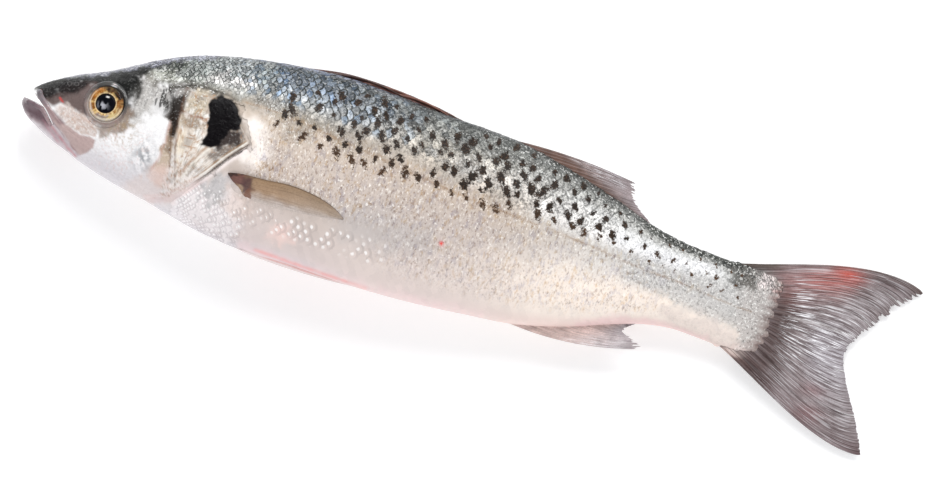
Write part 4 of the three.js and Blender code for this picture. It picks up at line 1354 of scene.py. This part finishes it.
def socket_tint(radius, turn):
    """The clear grey skin round the eye, darker above and paler below. Its rim takes the skin's colours."""
    x, y = EYE_X - radius * np.cos(turn), EYE_Y + radius * np.sin(turn)
    above = np.sin(turn) - 0.35 * np.cos(turn) + 0.2 * noise(x, y, 1.4, 38)
    # Two short arcs of painted highlight on the socket's upper rim.
    shine = [bell((turn - 1.7) / 0.15, (radius - at) / 0.24, power=4) for at in (7.6, 8.4)]
    tint = paint(
        (150, 134, 126),
        ((52, 51, 48), smooth(-0.6, 0.5, above)),
        ((206, 196, 186), 0.6 * bell((radius - 7.5) / 0.18) * (1 - smooth(-0.3, 0.5, above))),
        *[((250, 250, 252), 0.9 * bright) for bright in shine],
        (looks(x, y)["tint"], smooth(8.1, 9.2, radius + 0.4 * noise(x, y, 1.1, 39))))
    return tint, 0 * y


def polar(side, radii, heights, colour, hollow=False):
    """A surface of rings about the eye's axis. heights are measured out from the skin.
    Its ends are capped, or, where it is hollow, the last ring meets the first."""
    centre, forward, up, out = eye_frame(side)
    turn = np.arange(EYE_SIDES) * 2 * math.pi / EYE_SIDES
    r, t = np.meshgrid(radii, turn, indexing="ij")
    h = np.broadcast_to(np.asarray(heights)[:, None], r.shape)
    spokes = r[..., None] * (np.cos(t)[..., None] * forward + np.sin(t)[..., None] * up)
    points = (centre + spokes + h[..., None] * out).reshape(-1, 3)
    tint, metal = colour(r.ravel(), t.ravel())
    if hollow:
        loops = lattice(len(radii) + 1, EYE_SIDES, ring=True) % len(points)
        return facing_out(Shape(points, [loops], tint=tint, metal=metal))
    hubs = np.stack([points[:EYE_SIDES].mean(0), points[-EYE_SIDES:].mean(0)])
    ends = lambda row: np.concatenate([row, row[:1], row[-1:]])
    faces = capped(len(radii), EYE_SIDES)
    return facing_out(Shape(np.concatenate([points, hubs]), faces, tint=ends(tint), metal=ends(metal)))


def make_eyes():
    """Each eye: a dome that sinks a little round the pupil, a skirt into its socket, and a ring round it."""
    dome = np.linspace(0.1, EYE_RADIUS, 44)
    radii = np.concatenate([dome, [7.3, 7.6, 7.6, 7.0]])
    heights = np.concatenate([0.1 + 1.5 * np.sqrt(1 - (dome / DOME_RADIUS) ** 2), [0.4, 0, -1.6, -2.2]])
    heights -= 0.28 * bell((radii - 4.1) / 0.5)
    for hand, side in SIDES.items():
        ball = polar(side, radii, heights, eye_tint)
        add_piece(f"eyeball_{hand}", ball, EYE_GOLD, [f"eye_{hand}"])
        ring = polar(side, *zip(*SOCKET_RINGS), socket_tint, hollow=True)
        ring.points[:, 2] = np.maximum(ring.points[:, 2], 0)
        add_piece(f"eye_socket_{hand}", ring, SOCKET)


# ---------------------------------------------------------------- fins


def rays(u, v, count, forks):
    """How near a point is to a ray, 1 on it. Each ray forks where v passes each of the forks."""
    place = u * count
    inner = place - np.floor(place) - 0.5
    reach, width = 0.25, 0.36
    for fork in forks:
        spread = smooth(fork - 0.12, fork + 0.12, v)
        inner = np.abs(inner) - reach * spread
        width = width * (1 - 0.45 * spread)
        reach = reach / 2
    return np.exp(-((inner / width) ** 2) * 2.6)


def fin_values(tint, fan, out, ridge=0, wet=0):
    """What a fin's points carry: colour, place across the fan and out along it, rays, and where its hairlines
    are painted white as gleams.
    """
    blank = np.zeros(len(tint))
    return {"tint": tint, "ridge": blank + ridge, "fan": fan, "out": out, "wet": blank + wet}


TAIL_FAN = between(
    curve((284, 17), (296, 13), (300.5, 6), (301.5, 0), (300.5, -5), (296, -11), (288, -15)),
    curve((361, 26.6), (354, 20.8), (348.8, 13.8), (343, 6), (339.4, 0), (337.8, -6), (341.6, -15.5),
          (347, -25), (351.8, -33.8), (355, -41.2)))
TAIL_BULGE = 5.4
TAIL_MEAN_BULGE = 0.1
TAIL_RAYS = 19
TAIL_FORKS = (0.24, 0.6)
TAIL_CELLS = 18, 54
TAIL_SPLITS = [0, 0.13, 0.3, 0.405, 0.47, 0.62, 0.8, 1]
TAIL_GAP = 0.0015
TAIL_SLIT = [(313, 3.2), (326, 3.6), (339, 2.6)]


def tail_place(u, v):
    """(x, y) on the tail fin: u across the fan from the top, v out along the rays."""
    x, y = TAIL_FAN(u, v)
    bow = TAIL_BULGE * (np.cos(math.pi * u) + TAIL_MEAN_BULGE) * 4.6 * v**1.6 * np.maximum(1 - v, 0) ** 0.8
    return x, y + bow


def tail_tint(u, v):
    """Mauve-grey, dark brown at the roots, red in the upper lobe, silver in the middle."""
    x, y = tail_place(u, v)
    cloud = noise(x, y, 5, 44) + 0.5 * noise(x, y, 2, 45)
    spot = lambda px, py, reach: bell((x - px) / reach, 1.8 * (y - py) / reach)
    roots = band(v, 0, 0.2, 2, 3) * (1 - smooth(0.24, 0.46, v + 0.05 * cloud)) * smooth(0.12, 0.36, u)
    olive = (1 - smooth(0, 0.1, u)) * (1 - smooth(0.22, 0.3, v))
    slit = line_distance(x, y, TAIL_SLIT)
    trunk = (1 - smooth(297, 305, x + 0.8 * noise(x, y, 1.2, 54))) * (1 - olive)
    return paint(
        (154, 142, 143),
        ((176, 167, 169), smooth(-0.6, 0.8, cloud + 0.7 * smooth(0.5, 0.9, v) - 0.4)),
        ((198, 194, 201), 0.8 * bell((u - 0.56) / 0.18) * smooth(0.46, 0.74, v)),
        ((112, 96, 98), 0.5 * bell((u - 0.04) / 0.1) * smooth(0.6, 0.8, v)),
        ((132, 112, 114), 0.7 * smooth(0.8, 1, u)),
        ((104, 84, 78), 0.75 * (1 - smooth(0, 0.07, u))),
        ((84, 62, 58), 0.75 * roots),
        ((196, 132, 128), 0.55 * bell((u - 0.16) / 0.1) * band(v, 0.1, 0.3, 0.6, 0.8)),
        ((214, 90, 74), 0.8 * spot(331, 25.4, 6) + 0.35 * spot(322, 20.6, 7)),
        ((176, 110, 114), 0.3 * spot(330, -22, 5) + 0.3 * spot(331, -31, 6)),
        ((94, 70, 72), 0.8 * smooth(0.9, 1, u) * smooth(0.8, 1, v)),
        ((84, 70, 52), 0.8 * olive),
        # A painted highlight along both edges of the tear.
        ((250, 250, 250), 0.7 * bell(slit / 0.4) * (slit > 0.12)),
        ((146, 104, 100), 0.6 * bell((x - 312) / 5, (y - 10.5) / 4)),
        (looks(x, y)["tint"], trunk))


def tail_gleam(u, v):
    """Where the tail's hairlines carry painted gleams: most in the middle and near the roots of the upper
    lobe.
    """
    x, y = tail_place(u, v)
    patchy = smooth(-0.5, 0.6, noise(x, y, 4, 39))
    strong = bell((u - 0.5) / 0.24) + 0.9 * bell((x - 312) / 9, (y - 14) / 6)
    return np.clip(strong, 0.35, 1) * mix(0.8, 1, patchy) * band(v, 0.22, 0.3, 0.9, 1)


def tail_fan(start, end, wave, tilt):
    """One fan of the tail, from start to end across it."""

    def across(u, v):
        gap = TAIL_GAP * smooth(0.86, 1, v)
        return mix(start + (gap if start > 0 else 0), end - (gap if end < 1 else 0), u)

    def place(u, v, face):
        w = across(u, v)
        ragged = 0.018 * row_noise(np.floor(w * TAIL_RAYS * 4), 33) + 0.012 * row_noise(w * 300, 34)
        ragged *= mix(1, 0.25, smooth(0.4, 0.6, w)) * smooth(0, 0.03, w) * smooth(1, 0.97, w)
        out = v * (1 + np.where(v > 0.6, ragged * (v - 0.6) / 0.4, 0))
        x, y = tail_place(w, out)
        ridge = rays(w, out, TAIL_RAYS, TAIL_FORKS)
        thick = mix(1.1, 0.18, smooth(0, 0.55, out)) + 0.1 * ridge * (1 - 0.35 * out)
        sway = 0.35 * np.sin(3 * w + 4 * out + wave) * out + 0.25 * tilt * (u - 0.5) * smooth(0.5, 1, out)
        z = MIDDLE_PLANE(x) + sway + face * thick / 2
        return np.stack([x, y, np.maximum(z, 0.05 + 0.1 * (face + 1))], -1)

    def values(u, v):
        w = across(u, v)
        return fin_values(tail_tint(w, v), w, v, rays(w, v, TAIL_RAYS, TAIL_FORKS), tail_gleam(w, v))

    along, out = TAIL_CELLS
    return slab(int(round((end - start) * TAIL_RAYS * along)), out, place, values)


def tail_shape():
    """The tail fin: a few fans of forked rays, slit between them at the ragged edge."""
    draw = np.random.default_rng(5)
    spans = zip(TAIL_SPLITS, TAIL_SPLITS[1:])
    return Shape.joined([tail_fan(start, end, *draw.uniform(-1, 1, 2)) for start, end in spans])


SECOND_DORSAL = {
    "front": curve((187, 39.2), (198, 37), (210, 33.4), (222, 29.8), (236, 25), (249, 20.8)),
    "back": curve((238.6, 36.8), (240.2, 34.6), (240.6, 32), (242.2, 29.2), (246, 26), (250.6, 22.8)),
    "bow": 1.5, "count": 13, "columns": 210, "tints": ((132, 104, 92), (182, 170, 172)), "seed": 51,
}
ANAL = {
    "front": curve((203, -29.6), (213, -27.8), (224, -24.8), (234, -21), (244, -17.4), (254, -14.2)),
    "back": curve((259, -26), (258.4, -24.4), (256.6, -22.8), (252.6, -21.6), (252, -19.6), (256, -16.4)),
    "bow": -3.2, "count": 12, "columns": 190, "tints": ((250, 222, 214), (206, 197, 200)), "seed": 61,
}
FOLDED_ROWS = 48
FOLDED_FORKS = (0.62,)
FOLDED_WANDER = 0.004


def folded_fin_shape(front, back, bow, count, columns, tints, seed):
    """A fin laid back along the body. Rays run from the root curve (front) to the free edge (back)."""
    sheet = between(front, back)

    def flat(u, v):
        x, y = sheet(u, v)
        return x, y + bow * (1 - u) ** 1.5 * 4 * v * (1 - v)

    def place(u, v, face):
        ragged = 0.03 * row_noise(np.floor(u * count * 2), seed) + 0.015 * row_noise(u * 160, seed + 1)
        out = v * (0.995 + np.where(v > 0.7, ragged * (v - 0.7) / 0.3, 0))
        x, y = flat(np.clip(u + FOLDED_WANDER * np.sin(u * 40 + seed), 0, 1), out)
        thick = mix(1, 0.16, smooth(0, 0.4, out)) + 0.14 * rays(u, out, count, FOLDED_FORKS) * (1 - 0.4 * out)
        z = MIDDLE_PLANE(x) + 0.25 * np.sin(5 * u + 3 * out + seed) + face * thick / 2
        return np.stack([x, y, z], -1)

    def values(u, v):
        tint = paint(tints[0], (tints[1], smooth(0.25, 0.95, v)))
        shade = 1 + 0.2 * noise(*flat(u, v), 2.2, seed + 2) + 0.15 * noise(u * 60, v * 3, 1, seed + 3)
        # Where the hairlines are painted white as gleams: the front rays, out from their middles.
        wet = band(v, 0.4, 0.6, 0.84, 0.95) * (1 - smooth(0.25, 0.5, u))
        return fin_values(tint * shade[:, None], u, v, rays(u, v, count, FOLDED_FORKS), wet)

    return slab(columns, FOLDED_ROWS, place, values)


FIRST_DORSAL_FROM, FIRST_DORSAL_LENGTH = 104, 72
FIRST_DORSAL_ROOT = curve((104, 43.2), (120, 43.4), (138, 42.2), (156, 40.4), (176, 39.2))
FIRST_DORSAL_RIM = curve((104, 43.8), (120, 46), (139, 45.4), (156, 43.2), (176, 39.6))
SPINES, SPINE_RINGS, SPINE_SIDES = 8, 40, 8
SPINE_COLOURS = [(84, 60, 54), (138, 96, 84)]


def dorsal_keel():
    """The membrane of the folded spiny fin, a low keel on the back."""
    sheet = between(FIRST_DORSAL_ROOT, FIRST_DORSAL_RIM)

    def place(u, v, face):
        x, y = sheet(u, v)
        fold = 0.35 * np.sin(9 * v + 6 * u)
        half = mix(2.2, 0.5, v**0.8) / 2 * np.sin(np.pi * np.clip(u, 0.02, 0.98)) ** 0.4
        return np.stack([x, y - 0.5 * (1 - v), MIDDLE_PLANE(x) + fold * v + face * half], -1)

    def values(u, v):
        tint = paint((124, 74, 62), ((104, 70, 62), smooth(0.3, 0.9, v)))
        return fin_values(tint * (1 + 0.35 * noise(u * 6, v * 9, 1, 71))[:, None], v / 9, 5 * u)

    return slab(150, 12, place, values)


def dorsal_spine(k):
    """A spine laid back over the keel."""
    share = k / (SPINES - 1)
    t = np.linspace(0, 1, SPINE_RINGS)
    x = 107 + 46 * share + (40 - 18 * share) * t
    u = np.clip((x - FIRST_DORSAL_FROM) / FIRST_DORSAL_LENGTH, 0, 1)
    height = 0.25 + 0.75 * np.sin(np.pi * np.clip(t * 0.85 + 0.1, 0, 1)) ** 0.8
    y = mix(FIRST_DORSAL_ROOT(u)[:, 1], FIRST_DORSAL_RIM(u)[:, 1], height) - 0.5
    z = MIDDLE_PLANE(x) + 0.75 * math.cos(2.4 * k) + 0.3 * np.sin(3 * t + k)
    spine = tube(np.stack([x, y, z], 1), 0.55 * (1 - t) ** 0.6 + 0.09, SPINE_SIDES)
    along = spine.values["along"]
    tint = np.tile(screen(*SPINE_COLOURS[k % 2]), (len(along), 1))
    spine.values = fin_values(tint, 0 * along + 0.1 * k, along)
    return spine


def first_dorsal_shape():
    return Shape.joined([dorsal_keel()] + [dorsal_spine(k) for k in range(SPINES)])


PECTORAL = between(
    curve((85.4, -4.4), (90.5, -3.4), (100, -3), (110, -2.3), (120, -3.3), (128.6, -5.8), (134, -9)),
    curve((85.8, -5.4), (92.6, -11.4), (98, -13.8), (107, -14.4), (117, -13.8), (127, -12), (133.8, -9.8)))
PECTORAL_CELLS = 110, 70
PECTORAL_RAYS = 15
PECTORAL_FORKS = (0.55,)
PECTORAL_GAP = 0.02
# Blots at the fin's base: a centre, half widths along and across the fish, and a colour.
PECTORAL_BASE = [
    (88.5, -5.8, 5.4, 3, (120, 74, 72)), (93.6, -7, 3.4, 4.2, (84, 52, 56)),
    (95.4, -11, 1.7, 4, (132, 84, 62)), (91.6, -9.4, 1.2, 2.6, (188, 160, 132)),
    (87.4, -4.2, 3.6, 0.9, (48, 30, 24))]


def pectoral_shape(side):
    """The pectoral fin laid back on the flank: smooth, fine-rayed, dark and red at its base."""

    def place(u, v, face):
        thick = mix(1.3, 0.3, smooth(0, 0.6, u)) * mix(1, 0.12, smooth(0.1, 1, v))
        thick += 0.04 * rays(v, u, PECTORAL_RAYS, PECTORAL_FORKS)
        rise = mix(0.15, -0.12, smooth(0.55, 1, v)) + 0.3 * np.sin(np.pi * u) * (1 - v)
        points = on_flank(*PECTORAL(u, v), rise + (thick if face > 0 else 0), side)
        if side < 0:
            points[:, 2] = np.maximum(points[:, 2], PECTORAL_GAP + (0 if face > 0 else thick))
        return points

    def values(u, v):
        x, y = PECTORAL(u, v)
        cloud = noise(x, y * 2, 3, 82)
        tint = paint((178, 148, 118), ((184, 164, 144), smooth(0.3, 0.9, u)),
                     ((150, 124, 92), 0.5 * (1 - smooth(0, 0.4, v)) * (1 - smooth(0.7, 1, u))))
        tint = paint(tint * (1 + 0.1 * cloud)[:, None],
                     ((216, 204, 197), 0.95 * smooth(0.42, 0.8, v + 0.08 * cloud) * smooth(0.1, 0.3, u)),
                     ((204, 190, 178), 0.7 * smooth(0.84, 1, u)),
                     ((84, 62, 44), 0.8 * (1 - smooth(0, 0.05, v))))
        wave_x, wave_y = x + 1.2 * noise(x, y, 1.6, 81), y + 1.2 * noise(x, y, 1.6, 83)
        for at_x, at_y, width, tall, tone in PECTORAL_BASE:
            away = np.hypot((wave_x - at_x) / width, (wave_y - at_y) / tall)
            tint = paint(tint, (tone, 0.85 * (1 - smooth(0.45, 1.15, away))))
        return fin_values(tint, v, u)

    return slab(*PECTORAL_CELLS, place, values)


PELVIC_FROM, PELVIC_LENGTH = 97, 49
PELVIC_WIDTH = profile((0, 2.4), (0.3, 5.4), (0.7, 4), (1, 0.8))
PELVIC_CELLS = 90, 30
PELVIC_RAYS = 6
PELVIC_FORKS = (0.5,)


def pelvic_shape(side):
    """A pelvic fin folded back beside the belly's keel."""

    def place(u, v, face):
        x = PELVIC_FROM + PELVIC_LENGTH * u
        out = 1 + v * PELVIC_WIDTH(u) * 0.95
        middle, reach, fullness = section(x, -1)
        belly = middle - reach * (1 - (out / HALF_WIDTH(x)) ** fullness) ** (1 / fullness)
        swell = np.sin(np.pi * np.clip(u, 0.01, 0.99)) ** 0.6
        thick = (1.2 * (1 - 0.6 * v) + 0.05 * rays(v, u, PELVIC_RAYS, PELVIC_FORKS)) * swell + 0.1
        y = belly + 0.35 - (0 if face > 0 else thick)
        return np.stack([x, y, MIDDLE_PLANE(x) + side * out], -1)

    def values(u, v):
        red = smooth(0.5, 0.95, v + 0.1 * noise(u * 7, v, 1, 91)) * smooth(0.1, 0.3, u)
        tint = paint((255, 238, 236), ((244, 176, 170), 0.8 * red))
        return fin_values(tint, v, u, 0.5 * rays(v, u, PELVIC_RAYS, PELVIC_FORKS))

    return slab(*PELVIC_CELLS, place, values)


def make_fins():
    tail = fin_material("tail_membrane", gleam=0.06, fine=150, dark=0.75)
    dorsal = fin_material("dorsal_membrane", gloss=0.15, gleam=0.12)
    anal = fin_material("anal_membrane", gleam=0.12, dark=0.45)
    pectoral = fin_material("pectoral_membrane", gloss=0.2, gleam=0.0, fine=30, dark=0.2)
    pelvic = fin_material("pelvic_membrane", glow=(240, 224, 222), gleam=0.2, fine=12, dark=0.0)
    add_piece("tail", tail_shape(), tail, ["tail_fin"])
    add_piece("second_dorsal", folded_fin_shape(**SECOND_DORSAL), dorsal, ["second_dorsal_fin"])
    add_piece("first_dorsal", first_dorsal_shape(), dorsal, ["first_dorsal_fin"])
    add_piece("anal", folded_fin_shape(**ANAL), anal, ["anal_fin"])
    pairs = ("pectoral", pectoral_shape, pectoral), ("pelvic", pelvic_shape, pelvic)
    for hand, side in SIDES.items():
        for kind, shape, material in pairs:
            add_piece(f"{kind}_{hand}", shape(side), material, [f"{kind}_fin_{hand}"])


# ---------------------------------------------------------------- stage, lights and camera

FLOOR_REACH = 3.0
# The walls' brightness all round, and the ceiling's, which is darker.
WALLS = 1.1
CEILING = 0.3
# Each light: its place in metres, its size and its power. All of them aim at the fish.
LIGHTS = {
    "key": ((-0.3, 1.1, 1.1), (0.08, 0.8), 9.0),
    "fill": ((0.4, 1.4, 1.3), (1.0, 0.6), 13.0),
    "low_fill": ((0.1, -1.0, 1.5), (1.2, 0.8), 5.0),
}
# The camera looks straight down; it is turned until the fish lies as steeply as in the photo.
CAMERA_PLACE = (0.0023, -0.0104, 2.0)
CAMERA_ROLL = math.radians(16.3)
CAMERA_WIDTH = 0.3639


def make_floor():
    mesh = bpy.data.meshes.new("floor")
    corners = [(x * FLOOR_REACH, y * FLOOR_REACH, 0) for x, y in ((-1, -1), (1, -1), (1, 1), (-1, 1))]
    mesh.from_pydata(corners, [], [(0, 1, 2, 3)])
    recipe = Recipe("white_floor", Emission_Color=WHITE, Emission_Strength=0.34)
    mesh.materials.append(recipe.finish((230, 230, 230), 0.6))
    floor = add_object("floor", mesh)


def make_world():
    """A bright ring of white walls round the table, darker straight overhead."""
    world = bpy.data.worlds.new("studio")
    world.use_nodes = True
    nodes, links = world.node_tree.nodes, world.node_tree.links
    up = nodes.new("ShaderNodeSeparateXYZ")
    fall = nodes.new("ShaderNodeMapRange")
    fall.interpolation_type = "SMOOTHSTEP"
    for socket, value in {"From Min": 0.6, "From Max": 0.85, "To Min": WALLS, "To Max": CEILING}.items():
        fall.inputs[socket].default_value = value
    links.new(nodes.new("ShaderNodeTexCoord").outputs["Generated"], up.inputs[0])
    links.new(up.outputs["Z"], fall.inputs["Value"])
    links.new(fall.outputs[0], nodes["Background"].inputs["Strength"])
    nodes["Background"].inputs["Color"].default_value = (*screen(246, 247, 250), 1)
    bpy.context.scene.world = world


def make_lights():
    for name, (place, size, energy) in LIGHTS.items():
        light = bpy.data.lights.new(name, "AREA")
        light.shape = "RECTANGLE"
        light.size, light.size_y = size
        light.energy = energy
        lamp = add_object(name, light)
        lamp.location = place
        lamp.rotation_euler = (-Vector(place)).to_track_quat("-Z", "Y").to_euler()


def make_camera():
    camera = bpy.data.cameras.new("camera")
    camera.type = "ORTHO"
    camera.ortho_scale = CAMERA_WIDTH
    stand = add_object("camera", camera)
    stand.location = CAMERA_PLACE
    stand.rotation_euler = (0, 0, CAMERA_ROLL)
    bpy.context.scene.camera = stand


make_camera()
make_world()
make_lights()
make_floor()
make_skin()
make_scales()
make_plates()
make_mouth()
make_eyes()
make_fins()
bpy.context.scene.view_settings.view_transform = "Standard"
